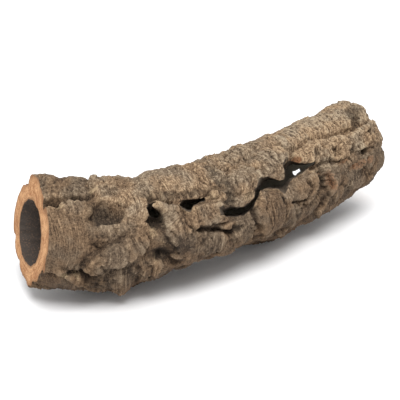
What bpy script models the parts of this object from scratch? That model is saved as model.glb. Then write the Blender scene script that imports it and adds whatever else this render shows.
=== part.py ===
"""A hollow cork branch: the bark of one cork oak limb, split along its side and sawn off at both ends.

Metres, +Z up. The tube lies on its belly with its length along X and its bulging side towards -Y. A place on
the bark is given by how far it is along the limb from the near end, in metres, and by its angle around the
limb in degrees: 0 faces -Y, 90 is the top, 180 faces +Y and 270 is the underside.
"""

import math
import random
from dataclasses import dataclass

import bmesh
import bpy
import numpy as np
from mathutils import Vector, noise

# The limb's line: it sets off at one heading, bends in its first half and runs on straight
LIMB_LENGTH = 0.440
NEAR_HEADING = math.radians(-25.5)
BEND = math.radians(36.0)
BEND_FROM = 0.010
BEND_SPAN = 0.240
LINE_START = (-0.2087, 0.0232)
AXIS_HEIGHT = 0.0590
NEAR_LIFT = 0.011
NEAR_LIFT_SPAN = 0.140
FAR_LIFT = 0.014
FAR_LIFT_FROM = 0.264
FAR_LIFT_SPAN = 0.176
LINE_STEP = 0.0005
NEAR_OVERRUN = 0.042
FAR_OVERRUN = 0.018

# How far the crests of the bark stand from that line, station by station
CREST_STATIONS = (-0.035, 0.0, 0.070, 0.120, 0.330, 0.400, 0.440)
CREST_RADII = (0.0505, 0.0536, 0.0600, 0.0600, 0.0565, 0.0550, 0.0535)
VALLEY_DEPTH = 0.0130
HOLLOW_RADIUS = 0.0335
HOLLOW_WAVE = 0.0022

# The underside is arched between the two places that it rests on
ARCH_MIDDLE = 0.178
ARCH_HALF_LENGTH = 0.085
ARCH_ANGLE = -66.0
ARCH_HALF_ANGLE = 62.0
ARCH_RISE = 0.0150
HOLLOW_SHARE_OF_ARCH = 0.5
LEAST_WALL = 0.005

# The saw cuts: where each crosses the limb's line, and how it leans to the front and to the top
NEAR_CUT = -0.0020
NEAR_CUT_FRONT_LEAN = 0.29
NEAR_CUT_TOP_LEAN = 0.20
FAR_CUT = 0.4365
FAR_CUT_FRONT_LEAN = -0.03
FAR_CUT_TOP_LEAN = 0.02

# One degree around the bark measures this much at its usual radius
DEGREE = 0.001

# Net of the skin: rows around, and stretches along its outside, an end and the hollow
ROWS_AROUND = 100
OUTER_STRETCHES = 150
END_STRETCHES = 3
HOLLOW_STRETCHES = 36
KEPT_SHARE = 0.245

SEED = 11
SMOOTH_JOIN = 0.0016
WARP_REACH = 0.0035
WARP_GRAIN = 34.0
LUMP_REACH = 0.0014
LUMP_GRAIN = 75.0

BARK_COLOUR = (0.25, 0.19, 0.14, 1.0)
BARK_ROUGHNESS = 0.92


@dataclass(frozen=True)
class Lobe:
    """A swelling of the bark: its middle, its half sizes, how far it rises and its turn.

    boxy makes its outline squarer, and the two tilts raise one end of it or one side of it.
    """

    along: float
    around: float
    half_along: float
    half_around: float
    rise: float
    turn: float = 0.0
    boxy: float = 2.8
    end_tilt: float = 0.0
    side_tilt: float = 0.0


@dataclass(frozen=True)
class Dent:
    """A hollow in the bark, such as an old knot."""

    along: float
    around: float
    half_along: float
    half_around: float
    depth: float


@dataclass(frozen=True)
class Furrow:
    """A deep crack between two swellings, through places (along, around)."""

    width: float
    depth: float
    route: tuple


@dataclass(frozen=True)
class Gap:
    """An opening through the wall, with its rim as places (along, around)."""

    name: str
    rim: tuple


NEAR_LOBES = (
    Lobe(0.033, 18, 0.029, 35, 0.0135, 0, 4.0),
    Lobe(0.044, 52, 0.017, 12, 0.0138, 0, 3.0),
    Lobe(0.024, 92, 0.038, 32, 0.0146, 0, 3.2),
    Lobe(0.004, 98, 0.030, 22, 0.0195),
    Lobe(0.046, 108, 0.015, 16, 0.0165),
    Lobe(0.076, 98, 0.017, 24, 0.0138),
    Lobe(0.067, 71, 0.011, 9, 0.0128),
    Lobe(0.092, 52, 0.016, 23, 0.0142, 0, 3.6, 0.12),
    Lobe(0.079, 24, 0.024, 10, 0.0138, 10, 3.0),
    Lobe(0.082, 9, 0.026, 13, 0.0164, 38, 2.8, 0.10, -0.14),
    Lobe(0.061, -8, 0.010, 14, 0.0110),
    Lobe(0.078, -36, 0.010, 33, 0.0195, 4, 2.2, 0.0, -0.14),
    Lobe(0.099, -16, 0.015, 24, 0.0130, 0, 3.2),
    Lobe(0.022, -42, 0.034, 23, 0.0130, 0, 4.0),
    Lobe(0.000, -70, 0.034, 24, 0.0160),
    Lobe(0.094, -92, 0.026, 26, 0.0155),
    Lobe(0.057, -42, 0.013, 22, 0.0138),
    Lobe(0.110, 19, 0.012, 9, 0.0130, -30),
)
MIDDLE_LOBES = (
    Lobe(0.120, 45.5, 0.0115, 7, 0.0160, -8, 2.4, -0.10),
    Lobe(0.129, 27, 0.024, 11, 0.0160, 105, 2.6),
    Lobe(0.137, 3, 0.015, 17, 0.0136),
    Lobe(0.159, 30, 0.019, 13, 0.0145, 0, 5.0, 0.10, 0.06),
    Lobe(0.169, 45, 0.010, 5, 0.0150, 0, 3.0),
    Lobe(0.141, -10, 0.020, 13, 0.0128, 0, 3.0),
    Lobe(0.163, -4, 0.015, 13, 0.0135, 0, 4.0),
    Lobe(0.175, 12, 0.007, 9, 0.0122),
    Lobe(0.139, 85, 0.034, 32, 0.0158, 0, 3.6),
    Lobe(0.181, 90, 0.017, 28, 0.0136),
    Lobe(0.187, 51, 0.013, 16, 0.0105, 0, 3.0),
    Lobe(0.208, 50, 0.023, 20, 0.0162, -6, 3.0, 0.06, -0.08),
    Lobe(0.202, 33, 0.016, 8, 0.0152, 0, 2.6),
    Lobe(0.228, 49, 0.010, 8, 0.0150, 0, 2.4),
    Lobe(0.209, 98, 0.022, 25, 0.0142),
    Lobe(0.243, 100, 0.026, 22, 0.0142),
    Lobe(0.255, 60, 0.021, 22, 0.0158, 0, 3.0, 0.08),
    Lobe(0.264, 38, 0.010, 4.5, 0.0140, 22, 2.2),
    Lobe(0.196, -2, 0.015, 20, 0.0138, 0, 3.6),
    Lobe(0.237, 5, 0.026, 32, 0.0164, 0, 3.2),
)
FAR_LOBES = (
    Lobe(0.286, 20, 0.027, 16, 0.0148, 6, 2.8),
    Lobe(0.290, -12, 0.032, 11, 0.0122, 4, 3.0),
    Lobe(0.286, 96, 0.026, 28, 0.0160, 0, 3.0),
    Lobe(0.366, 91, 0.072, 31, 0.0144, -5, 5.0),
    Lobe(0.420, 92, 0.026, 32, 0.0158, 0, 4.0),
    Lobe(0.287, -92, 0.030, 25, 0.0165),
    Lobe(0.326, 52, 0.030, 10, 0.0150, -5, 3.0),
    Lobe(0.348, 43, 0.009, 9, 0.0150, 0, 2.4),
    Lobe(0.394, 43, 0.037, 12, 0.0146, -6, 3.2),
    Lobe(0.378, 8, 0.046, 22, 0.0118, 0, 4.0),
    Lobe(0.350, 22, 0.013, 8, 0.0142),
    Lobe(0.374, 23, 0.013, 7, 0.0140),
    Lobe(0.389, 12, 0.014, 8, 0.0146, 10),
    Lobe(0.409, 8, 0.010, 10, 0.0146),
    Lobe(0.362, 5, 0.014, 9, 0.0142),
    Lobe(0.384, -8, 0.016, 9, 0.0138, -8),
    Lobe(0.347, -8, 0.012, 11, 0.0140),
    Lobe(0.427, 21, 0.011, 12, 0.0156),
    Lobe(0.431, -6, 0.012, 12, 0.0166),
    Lobe(0.408, -19, 0.014, 11, 0.0150),
    Lobe(0.333, 10, 0.006, 18, 0.0140, 0, 2.6),
    Lobe(0.350, -32, 0.056, 17, 0.0125, 0, 4.0),
)
DENTS = (
    Dent(0.068, 42, 0.019, 15, 0.0190),
    Dent(0.112, 0, 0.013, 9, 0.0120),
    Dent(0.053, -24, 0.008, 10, 0.0080),
    Dent(0.317, 17, 0.014, 13, 0.0105),
    Dent(0.358, 41, 0.007, 7, 0.0085),
    Dent(0.408, 59, 0.008, 8, 0.0065),
    Dent(0.421, 74, 0.014, 12, 0.0030),
    Dent(0.421, 39, 0.006, 6, 0.0075),
    Dent(0.388, 26, 0.014, 5, 0.0065),
    Dent(0.183, 5, 0.008, 7, 0.0070),
    Dent(0.288, 51, 0.012, 8, 0.0110),
)
FURROWS = (
    Furrow(0.0024, 0.0075, ((-0.044, 54), (0.010, 54), (0.024, 57), (0.038, 64), (0.060, 65))),
    Furrow(0.0028, 0.0045, ((0.080, 19), (0.070, 16), (0.063, 12), (0.056, 2), (0.049, -10))),
    Furrow(0.0030, 0.0060, ((-0.010, -20), (0.020, -19), (0.047, -17))),
    Furrow(0.0040, 0.0080, ((0.150, 16), (0.162, 14), (0.168, 10), (0.180, 2))),
    Furrow(0.0025, 0.0060, ((0.205, 18), (0.209, 9), (0.215, -3))),
    Furrow(0.0030, 0.0090, ((0.294, 61), (0.312, 66), (0.345, 63), (0.368, 56), (0.400, 51), (0.460, 48))),
    Furrow(0.0045, 0.0090, ((0.303, 40), (0.322, 36), (0.352, 32))),
    Furrow(0.0030, 0.0060, ((0.262, 10), (0.272, 5), (0.290, 4))),
    Furrow(0.0020, 0.0040, ((0.367, 60), (0.371, 80), (0.376, 104))),
)
GAPS = (
    Gap(
        "horn_gap",
        ((0.106, 48), (0.109, 54), (0.117, 54), (0.112, 50), (0.117, 43), (0.117, 34), (0.113, 28),
         (0.108, 29), (0.105, 36)),
    ),
    Gap(
        "roll_gap",
        ((0.136, 46), (0.141, 37), (0.145, 37), (0.148, 41), (0.154, 43), (0.162, 44), (0.163, 48),
         (0.150, 49), (0.141, 50)),
    ),
    Gap(
        "long_gap",
        ((0.174, 31), (0.182, 32), (0.190, 28), (0.200, 26), (0.209, 28), (0.216, 32), (0.220, 38),
         (0.227, 42), (0.235, 46), (0.243, 44), (0.250, 40), (0.262, 39), (0.270, 43), (0.276, 51),
         (0.288, 54), (0.295, 47), (0.303, 43), (0.318, 42), (0.333, 39), (0.318, 36), (0.303, 36),
         (0.288, 34), (0.279, 33), (0.270, 31), (0.262, 26), (0.257, 24), (0.250, 28), (0.242, 32),
         (0.233, 35), (0.226, 35), (0.219, 30), (0.213, 24), (0.206, 19), (0.196, 17), (0.186, 19),
         (0.174, 23)),
    ),
    Gap(
        "back_gap",
        ((0.364, 212), (0.372, 222), (0.386, 225), (0.398, 219), (0.401, 211), (0.392, 205),
         (0.376, 204)),
    ),
)


def smooth_step(share):
    """0 before 0, 1 after 1 and an even ease between them."""
    share = np.clip(share, 0.0, 1.0)
    return share * share * (3 - 2 * share)


class LimbLine:
    """The line through the middle of the limb, and the sideways direction square to it."""

    def __init__(self):
        self.along = np.arange(-NEAR_OVERRUN - LINE_STEP, LIMB_LENGTH + FAR_OVERRUN + 2 * LINE_STEP, LINE_STEP)
        self.heading = NEAR_HEADING + BEND * smooth_step((self.along - BEND_FROM) / BEND_SPAN)
        middles = (self.heading[1:] + self.heading[:-1]) / 2
        across = np.concatenate([[0.0], np.cumsum(np.cos(middles) * LINE_STEP)])
        away = np.concatenate([[0.0], np.cumsum(np.sin(middles) * LINE_STEP)])
        self.x = across - np.interp(0.0, self.along, across) + LINE_START[0]
        self.y = away - np.interp(0.0, self.along, away) + LINE_START[1]

    def place(self, along, around, radius):
        """World points for places on the limb; all three are arrays of one length, angles in degrees."""
        heading = np.interp(along, self.along, self.heading)
        angle = np.radians(around)
        near = np.clip(1 - along / NEAR_LIFT_SPAN, 0.0, None)
        far = np.clip((along - FAR_LIFT_FROM) / FAR_LIFT_SPAN, 0.0, None)
        level = AXIS_HEIGHT + NEAR_LIFT * near**2 + FAR_LIFT * far**2
        out = radius * np.cos(angle)
        x = np.interp(along, self.along, self.x) + np.sin(heading) * out
        y = np.interp(along, self.along, self.y) - np.cos(heading) * out
        return np.stack([x, y, level + radius * np.sin(angle)], axis=-1)


def round_the_limb(angles):
    """Angles in degrees brought to between -180 and 180."""
    return (np.asarray(angles) + 180.0) % 360.0 - 180.0


def grain(along, around, fineness, shift):
    """Smooth noise over the bark, with no seam around it."""
    angle = np.radians(around)
    spot = np.stack([along, 0.057 * np.cos(angle), 0.057 * np.sin(angle)], axis=-1) * fineness + shift
    return np.array([noise.noise(p) for p in spot.tolist()])


def hidden_lobes():
    """Swellings of the side and underside that face away, in jittered rows."""
    chance = random.Random(SEED)
    found = []
    for row in range(12):
        for column in range(5):
            found.append(
                Lobe(
                    0.041 * row - 0.022 + chance.uniform(-0.010, 0.010),
                    139 + 29 * column + 13 * (row % 2) + chance.uniform(-7, 7),
                    chance.uniform(0.017, 0.027),
                    chance.uniform(14, 22),
                    chance.uniform(0.0120, 0.0155),
                    chance.uniform(-35, 35),
                    chance.uniform(2.4, 3.6),
                )
            )
    return found


def filler_lobes():
    """Small low swellings all over, which show only between the large ones."""
    chance = random.Random(SEED + 1)
    found = []
    for row in range(28):
        for column in range(20):
            found.append(
                Lobe(
                    0.017 * row - 0.010 + chance.uniform(-0.005, 0.005),
                    18 * column + 9 * (row % 2) + chance.uniform(-5, 5),
                    chance.uniform(0.008, 0.013),
                    chance.uniform(8, 13),
                    chance.uniform(0.0035, 0.0085),
                    chance.uniform(-60, 60),
                )
            )
    return found


def lobe_height(lobe, along, around):
    """How high one swelling stands at each place; below zero outside it."""
    across = along - lobe.along
    up = round_the_limb(around - lobe.around) * DEGREE
    turn = math.radians(lobe.turn)
    u = (across * math.cos(turn) + up * math.sin(turn)) / lobe.half_along
    v = (up * math.cos(turn) - across * math.sin(turn)) / (lobe.half_around * DEGREE)
    reach = (np.abs(u) ** lobe.boxy + np.abs(v) ** lobe.boxy) ** (1 / lobe.boxy)
    dome = np.sqrt(np.clip(1 - reach**3, 0.0, 1.0)) * (1 + lobe.end_tilt * u + lobe.side_tilt * v)
    return np.where(reach < 1, lobe.rise * dome, -0.02 * (reach - 1))


def smooth_larger(first, second):
    """The larger of two heights, eased where they meet."""
    blend = np.clip(0.5 + 0.5 * (first - second) / SMOOTH_JOIN, 0.0, 1.0)
    return second + (first - second) * blend + SMOOTH_JOIN * blend * (1 - blend)


def distance_to_route(route, along, around):
    """Distance from each place to a line of places on the bark."""
    nearest = np.full(along.shape, 1.0)
    for (a0, t0), (a1, t1) in zip(route[:-1], route[1:]):
        run, rise = a1 - a0, (t1 - t0) * DEGREE
        across, up = along - a0, round_the_limb(around - t0) * DEGREE
        share = np.clip((across * run + up * rise) / (run * run + rise * rise), 0.0, 1.0)
        nearest = np.minimum(nearest, np.hypot(across - share * run, up - share * rise))
    return nearest


def arch(along, around):
    """How much the underside is drawn in between the places that it rests on."""
    lengthwise = smooth_step(1.25 - np.abs(along - ARCH_MIDDLE) / ARCH_HALF_LENGTH)
    sideways = smooth_step(1 - np.abs(round_the_limb(around - ARCH_ANGLE)) / ARCH_HALF_ANGLE)
    return ARCH_RISE * lengthwise * sideways


def hollow_radius(along, around):
    """Distance of the hollow's wall from the limb's line at each place."""
    wave = HOLLOW_WAVE * grain(along, around, 22.0, 41.0)
    return HOLLOW_RADIUS + wave - HOLLOW_SHARE_OF_ARCH * arch(along, around)


def bark_radius(along, around):
    """Distance of the outer bark from the limb's line at each place."""
    warped_along = along + WARP_REACH * grain(along, around, WARP_GRAIN, 3.0)
    warped_around = around + WARP_REACH / DEGREE * grain(along, around, WARP_GRAIN, 17.0)
    height = np.zeros(along.shape)
    for lobe in (*filler_lobes(), *hidden_lobes(), *NEAR_LOBES, *MIDDLE_LOBES, *FAR_LOBES):
        height = smooth_larger(height, lobe_height(lobe, warped_along, warped_around))
    for dent in DENTS:
        across = (warped_along - dent.along) / dent.half_along
        up = round_the_limb(warped_around - dent.around) / dent.half_around
        height -= dent.depth * (1 - smooth_step(np.hypot(across, up) * 0.8))
    for furrow in FURROWS:
        away = distance_to_route(furrow.route, warped_along, warped_around)
        height -= furrow.depth * (1 - smooth_step(away / (furrow.width * 1.6)))
    height += LUMP_REACH * grain(along, around, LUMP_GRAIN, 29.0)
    crest = np.interp(along, CREST_STATIONS, CREST_RADII)
    radius = crest - VALLEY_DEPTH - arch(along, around) + np.maximum(height, -0.004)
    return np.maximum(radius, hollow_radius(along, around) + LEAST_WALL)


def limb_skin():
    """The closed skin of the hollow limb, a little longer than it is sawn."""
    skin = bmesh.new()
    profile = OUTER_STRETCHES + 2 * END_STRETCHES + HOLLOW_STRETCHES
    bmesh.ops.create_grid(skin, x_segments=ROWS_AROUND, y_segments=profile, size=0.5)
    net = np.array([v.co for v in skin.verts])
    around = (net[:, 0] + 0.5) * 360.0
    step = np.rint((net[:, 1] + 0.5) * profile)
    near, far = -NEAR_OVERRUN, LIMB_LENGTH + FAR_OVERRUN
    out = np.clip(step / OUTER_STRETCHES, 0.0, 1.0)
    back = np.clip((step - OUTER_STRETCHES - END_STRETCHES) / HOLLOW_STRETCHES, 0.0, 1.0)
    along = near + (far - near) * (out - back)
    inward = np.clip((step - OUTER_STRETCHES) / END_STRETCHES, 0.0, 1.0)
    outward = np.clip((step - profile + END_STRETCHES) / END_STRETCHES, 0.0, 1.0)
    share = inward - outward
    radius = bark_radius(along, around) * (1 - share) + hollow_radius(along, around) * share
    places = LimbLine().place(along, around, radius)
    for vertex, spot in zip(skin.verts, places.tolist()):
        vertex.co = spot
    bmesh.ops.remove_doubles(skin, verts=skin.verts[:], dist=1e-6)
    bmesh.ops.recalc_face_normals(skin, faces=skin.faces[:])
    return skin


def gap_cutter():
    """One mesh of plugs that pass through the wall at each gap."""
    plugs = bmesh.new()
    line = LimbLine()
    for gap in GAPS:
        along = np.array([p[0] for p in gap.rim])
        around = np.array([p[1] for p in gap.rim], float)
        inside = line.place(along, around, np.full(along.shape, HOLLOW_RADIUS - 0.008))
        outside = line.place(along, around, np.full(along.shape, max(CREST_RADII) + 0.012))
        floor = plugs.faces.new([plugs.verts.new(p) for p in inside])
        grown = bmesh.ops.extrude_face_region(plugs, geom=[floor])
        lifted = [item for item in grown["geom"] if isinstance(item, bmesh.types.BMVert)]
        for vertex in lifted:
            nearest = int(np.argmin(np.linalg.norm(inside - np.array(vertex.co), axis=1)))
            vertex.co = outside[nearest]
    bmesh.ops.triangulate(plugs, faces=plugs.faces[:])
    bmesh.ops.recalc_face_normals(plugs, faces=plugs.faces[:])
    return plugs


def block(middle, normal, depth):
    """A large block whose one face passes through middle, lying on the side that normal points to."""
    made = bmesh.new()
    bmesh.ops.create_cube(made, size=1.0)
    bmesh.ops.scale(made, vec=(0.6, 0.6, depth), verts=made.verts[:])
    bmesh.ops.translate(made, vec=(0, 0, depth / 2), verts=made.verts[:])
    turn = Vector(normal).to_track_quat("Z", "Y").to_matrix()
    bmesh.ops.rotate(made, cent=(0, 0, 0), matrix=turn, verts=made.verts[:])
    bmesh.ops.translate(made, vec=middle, verts=made.verts[:])
    return made


def saw_block(cut, front_lean, top_lean, sign):
    """The waste beyond a saw cut."""
    line = LimbLine()
    middle = line.place(np.array([cut]), np.array([0.0]), np.array([0.0]))[0]
    heading = float(np.interp(cut, line.along, line.heading))
    forward = Vector((math.cos(heading), math.sin(heading), 0.0))
    front = Vector((math.sin(heading), -math.cos(heading), 0.0))
    normal = sign * (forward - front_lean * front - top_lean * Vector((0.0, 0.0, 1.0)))
    return block(middle, normal.normalized(), 0.2)


def make_object(name, mesh_source):
    """Turns a bmesh into an object in the scene."""
    mesh = bpy.data.meshes.new(name)
    mesh_source.to_mesh(mesh)
    mesh_source.free()
    made = bpy.data.objects.new(name, mesh)
    bpy.context.scene.collection.objects.link(made)
    return made


def cut_away(body, cutter_mesh, name):
    """Cuts a mesh out of the body with an exact Boolean."""
    cutter = make_object(name, cutter_mesh)
    cutter.hide_render = True
    cutter.display_type = "WIRE"
    step = body.modifiers.new(name, "BOOLEAN")
    step.operation = "DIFFERENCE"
    step.solver = "EXACT"
    step.object = cutter


def bark_material():
    """Dry grey-brown cork bark."""
    material = bpy.data.materials.new("cork_bark")
    material.use_nodes = True
    surface = material.node_tree.nodes["Principled BSDF"]
    surface.inputs["Base Color"].default_value = BARK_COLOUR
    surface.inputs["Roughness"].default_value = BARK_ROUGHNESS
    surface.inputs["Metallic"].default_value = 0.0
    return material


def main():
    for old in list(bpy.data.objects):
        bpy.data.objects.remove(old)
    limb = make_object("cork_branch", limb_skin())
    limb.data.materials.append(bark_material())
    limb.data.shade_smooth()
    limb.data.set_sharp_from_angle(angle=math.radians(40))
    fewer = limb.modifiers.new("fewer_faces", "DECIMATE")
    fewer.ratio = KEPT_SHARE
    cut_away(limb, gap_cutter(), "gap_plugs")
    cut_away(limb, saw_block(NEAR_CUT, NEAR_CUT_FRONT_LEAN, NEAR_CUT_TOP_LEAN, -1), "near_waste")
    cut_away(limb, saw_block(FAR_CUT, FAR_CUT_FRONT_LEAN, FAR_CUT_TOP_LEAN, 1), "far_waste")
    cut_away(limb, block((0, 0, 0), (0, 0, -1), 0.1), "worn_under_rest")


main()
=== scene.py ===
"""A hollow cork branch, dressed: rough bark, sawn cork ends and a dark lining, on a plain pale table.

Metres, +Z up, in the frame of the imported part. A place on the bark is given by how far it is along the limb
from the near end, in metres, and by its angle around the limb in degrees: 0 faces -Y and 90 is the top.
"""

import logging
import math
import random
from dataclasses import dataclass
from enum import Enum
from functools import cached_property
from itertools import product
from typing import Any, Iterable, Sequence

import bmesh
import bpy
import numpy as np
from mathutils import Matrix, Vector, kdtree, noise


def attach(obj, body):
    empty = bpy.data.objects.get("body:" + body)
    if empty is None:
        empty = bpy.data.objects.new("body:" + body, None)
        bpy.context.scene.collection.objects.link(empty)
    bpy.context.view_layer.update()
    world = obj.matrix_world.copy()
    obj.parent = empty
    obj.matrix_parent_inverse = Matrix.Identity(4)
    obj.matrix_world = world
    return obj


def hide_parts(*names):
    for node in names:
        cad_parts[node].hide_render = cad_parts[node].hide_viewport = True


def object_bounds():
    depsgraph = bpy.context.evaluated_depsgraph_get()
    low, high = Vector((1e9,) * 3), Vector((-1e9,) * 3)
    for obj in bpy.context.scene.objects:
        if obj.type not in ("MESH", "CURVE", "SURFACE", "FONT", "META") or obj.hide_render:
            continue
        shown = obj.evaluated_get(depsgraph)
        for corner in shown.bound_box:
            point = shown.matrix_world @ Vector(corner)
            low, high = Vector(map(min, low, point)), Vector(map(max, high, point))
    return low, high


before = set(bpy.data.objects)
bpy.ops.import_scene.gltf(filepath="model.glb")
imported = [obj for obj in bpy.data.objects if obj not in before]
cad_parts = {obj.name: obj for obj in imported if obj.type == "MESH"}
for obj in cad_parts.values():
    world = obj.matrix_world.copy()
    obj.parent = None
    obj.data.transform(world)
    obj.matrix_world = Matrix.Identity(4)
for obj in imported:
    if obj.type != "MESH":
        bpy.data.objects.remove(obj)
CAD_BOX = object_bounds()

LOG = logging.getLogger("cork_branch")

# The limb's usual radius, and about what one degree around it measures on the bark.
LIMB_RADIUS = 0.057
DEGREE = 0.001

Span = tuple[float, float]
Route = tuple[tuple[float, float], ...]
Box = Sequence[Sequence[float]]


def smooth_step(share: np.ndarray) -> np.ndarray:
    """Ease values from 0 to 1, with 0 for those below and 1 for those above."""
    share = np.clip(share, 0.0, 1.0)
    return share * share * (3 - 2 * share)


def eased_larger(first: np.ndarray, second: np.ndarray, join: float) -> np.ndarray:
    """The larger of two heights, eased where they are less than join apart."""
    blend = np.clip(0.5 + 0.5 * (first - second) / join, 0.0, 1.0)
    return second + (first - second) * blend + join * blend * (1 - blend)


def round_the_limb(angles: np.ndarray) -> np.ndarray:
    """Bring angles in degrees to between -180 and 180."""
    return (np.asarray(angles) + 180.0) % 360.0 - 180.0


def noise_at(points: np.ndarray) -> np.ndarray:
    """Smooth noise from about -1 to 1 at points that have x, y and z on their last axis."""
    return np.array([noise.noise(p) for p in points.reshape(-1, 3).tolist()]).reshape(points.shape[:-1])


def blurred(values: np.ndarray, reach: int) -> np.ndarray:
    """Average a net's values with their neighbours.

    Args:
        values: One row for each station, whose last column repeats the first.
        reach: How many steps each way are averaged.

    Returns:
        The averages, in the same shape.
    """
    ring = values[:, :-1]
    total = sum(np.roll(ring, step, axis=1) for step in range(-reach, reach + 1))
    ends = np.pad(total, ((reach, reach), (0, 0)), mode="edge")
    total = sum(ends[step : step + len(ring)] for step in range(2 * reach + 1))
    mean = total / (2 * reach + 1) ** 2
    return np.concatenate([mean, mean[:, :1]], axis=1)


class Cloud(Enum):
    """Parts of the noise's space, one for each use of it, so that no two uses run alike."""

    SWAY_ALONG = 3.0
    ROUGH = 5.0
    SWAY_AROUND = 17.0
    PITTED = 23.0
    LUMPS = 29.0
    HOLLOW = 41.0
    LINING = 53.0
    FLOOR = 61.0
    RIMS = 71.0

    def part(self, number: int, apart: float = 7.0) -> float:
        """How far off in the space one of several noises of this use is read."""
        return self.value + apart * number


@dataclass(frozen=True)
class Places:
    """Places on the limb: the distance of each along it, and its angle around it in degrees."""

    along: np.ndarray
    around: np.ndarray

    def on_round_limb(self) -> np.ndarray:
        """Points for the places on a straight round limb, which has no seam around it."""
        angle = np.radians(self.around)
        return np.stack([self.along, LIMB_RADIUS * np.cos(angle), LIMB_RADIUS * np.sin(angle)], axis=-1)

    def grain(self, fineness: float, cloud: Cloud, number: int = 0) -> np.ndarray:
        """Smooth noise from about -1 to 1, with its fineness in waves per metre, for one use and number."""
        return noise_at(self.on_round_limb() * fineness + cloud.part(number))

    def offset(self, along: float, around: float) -> tuple[np.ndarray, np.ndarray]:
        """How far each place is from one place, along and around the limb, in metres."""
        return self.along - along, round_the_limb(self.around - around) * DEGREE

    def distance_to(self, route: Route) -> np.ndarray:
        """Distance of each place from a line through places on the bark.

        Args:
            route: The line's places.

        Returns:
            Distances in metres.
        """
        nearest = np.full(self.along.shape, 1.0)
        for start, end in zip(route[:-1], route[1:]):
            run, rise = end[0] - start[0], (end[1] - start[1]) * DEGREE
            across, up = self.offset(*start)
            share = np.clip((across * run + up * rise) / (run * run + rise * rise), 0.0, 1.0)
            nearest = np.minimum(nearest, np.hypot(across - share * run, up - share * rise))
        return nearest


@dataclass(frozen=True)
class LimbLine:
    """The line through the middle of the limb, which bends in its first half and runs on straight."""

    length: float = 0.440
    near_heading: float = math.radians(-25.5)
    bend: float = math.radians(36.0)
    bend_from: float = 0.010
    bend_span: float = 0.240
    start: tuple[float, float] = (-0.2087, 0.0232)
    axis_height: float = 0.059
    near_lift: float = 0.011
    near_lift_span: float = 0.140
    far_lift: float = 0.014
    far_lift_from: float = 0.264
    far_lift_span: float = 0.176
    near_overrun: float = 0.042
    far_overrun: float = 0.018
    step: float = 0.0005

    @cached_property
    def along(self) -> np.ndarray:
        """Stations along the line."""
        past_far = self.length + self.far_overrun + 2 * self.step
        return np.arange(-self.near_overrun - self.step, past_far, self.step)

    @cached_property
    def heading(self) -> np.ndarray:
        """The line's heading at each station."""
        return self.near_heading + self.bend * smooth_step((self.along - self.bend_from) / self.bend_span)

    @cached_property
    def track(self) -> tuple[np.ndarray, np.ndarray]:
        """World x and y of the line at each station."""
        middles = (self.heading[1:] + self.heading[:-1]) / 2
        x = np.concatenate([[0.0], np.cumsum(np.cos(middles) * self.step)])
        y = np.concatenate([[0.0], np.cumsum(np.sin(middles) * self.step)])
        x += self.start[0] - np.interp(0.0, self.along, x)
        y += self.start[1] - np.interp(0.0, self.along, y)
        return x, y

    def place(self, places: Places, radius: np.ndarray) -> np.ndarray:
        """Turn places on the limb into world points.

        Args:
            places: The places.
            radius: Distance of each from the line.

        Returns:
            World points, with x, y and z on the last axis.
        """
        along = places.along
        heading = np.interp(along, self.along, self.heading)
        angle = np.radians(places.around)
        near = np.clip(1 - along / self.near_lift_span, 0.0, None)
        far = np.clip((along - self.far_lift_from) / self.far_lift_span, 0.0, None)
        level = self.axis_height + self.near_lift * near**2 + self.far_lift * far**2
        out = radius * np.cos(angle)
        x = np.interp(along, self.along, self.track[0]) + np.sin(heading) * out
        y = np.interp(along, self.along, self.track[1]) - np.cos(heading) * out
        return np.stack([x, y, level + radius * np.sin(angle)], axis=-1)

    def forward(self, along: float) -> Vector:
        """The line's direction at one station."""
        heading = float(np.interp(along, self.along, self.heading))
        return Vector((math.cos(heading), math.sin(heading), 0.0))


@dataclass(frozen=True)
class Spot:
    """An oval on the bark: its middle and its half sizes."""

    along: float
    around: float
    half_along: float
    half_around: float

    def distance(self, places: Places) -> np.ndarray:
        """How far each place is from the middle, with 1 at the half sizes."""
        across = (places.along - self.along) / self.half_along
        up = round_the_limb(places.around - self.around) / self.half_around
        return np.hypot(across, up)


@dataclass(frozen=True)
class Lobe(Spot):
    """A swelling of the bark: its oval, rise, turn, how boxy it is, and its two tilts.

    bow is how far its growth lines curve towards the far end at its middle, edge how flat its top is and
    how steep its sides are, join how widely it blends into what it stands on, grooved how deep its growth
    lines are, skirt how fast it falls beyond its outline, and skirt_ends how many half sizes out that goes.
    """

    rise: float
    turn: float = 0.0
    boxy: float = 2.8
    end_tilt: float = 0.0
    side_tilt: float = 0.0
    bow: float = 0.005
    edge: float = 4.5
    join: float = 0.0030
    grooved: float = 0.35
    skirt: float = 0.02
    skirt_ends: float = 1.5

    @property
    def bound(self) -> float:
        """How far from its middle the lobe can show, along or around the limb."""
        return self.skirt_ends * max(self.half_along, self.half_around * DEGREE)

    def height(self, across: np.ndarray, up: np.ndarray) -> np.ndarray:
        """How high the lobe stands.

        Args:
            across: How far each place is from its middle along the limb.
            up: The same around the limb, in metres.

        Returns:
            Heights, which are a little below 0 beyond its outline.
        """
        turn = math.radians(self.turn)
        endwise = (across * math.cos(turn) + up * math.sin(turn)) / self.half_along
        sideways = (up * math.cos(turn) - across * math.sin(turn)) / (self.half_around * DEGREE)
        reach = (np.abs(endwise) ** self.boxy + np.abs(sideways) ** self.boxy) ** (1 / self.boxy)
        tilt = 1 + self.end_tilt * endwise + self.side_tilt * sideways
        dome = np.sqrt(np.clip(1 - reach**self.edge, 0.0, 1.0)) * tilt
        return np.where(reach < 1, self.rise * dome, -self.skirt * (reach - 1))

    def bent(self, across: np.ndarray, up: np.ndarray) -> np.ndarray:
        """How far each place is across the lobe's growth lines."""
        return across + self.bow * (up / (self.half_around * DEGREE)) ** 2


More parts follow.
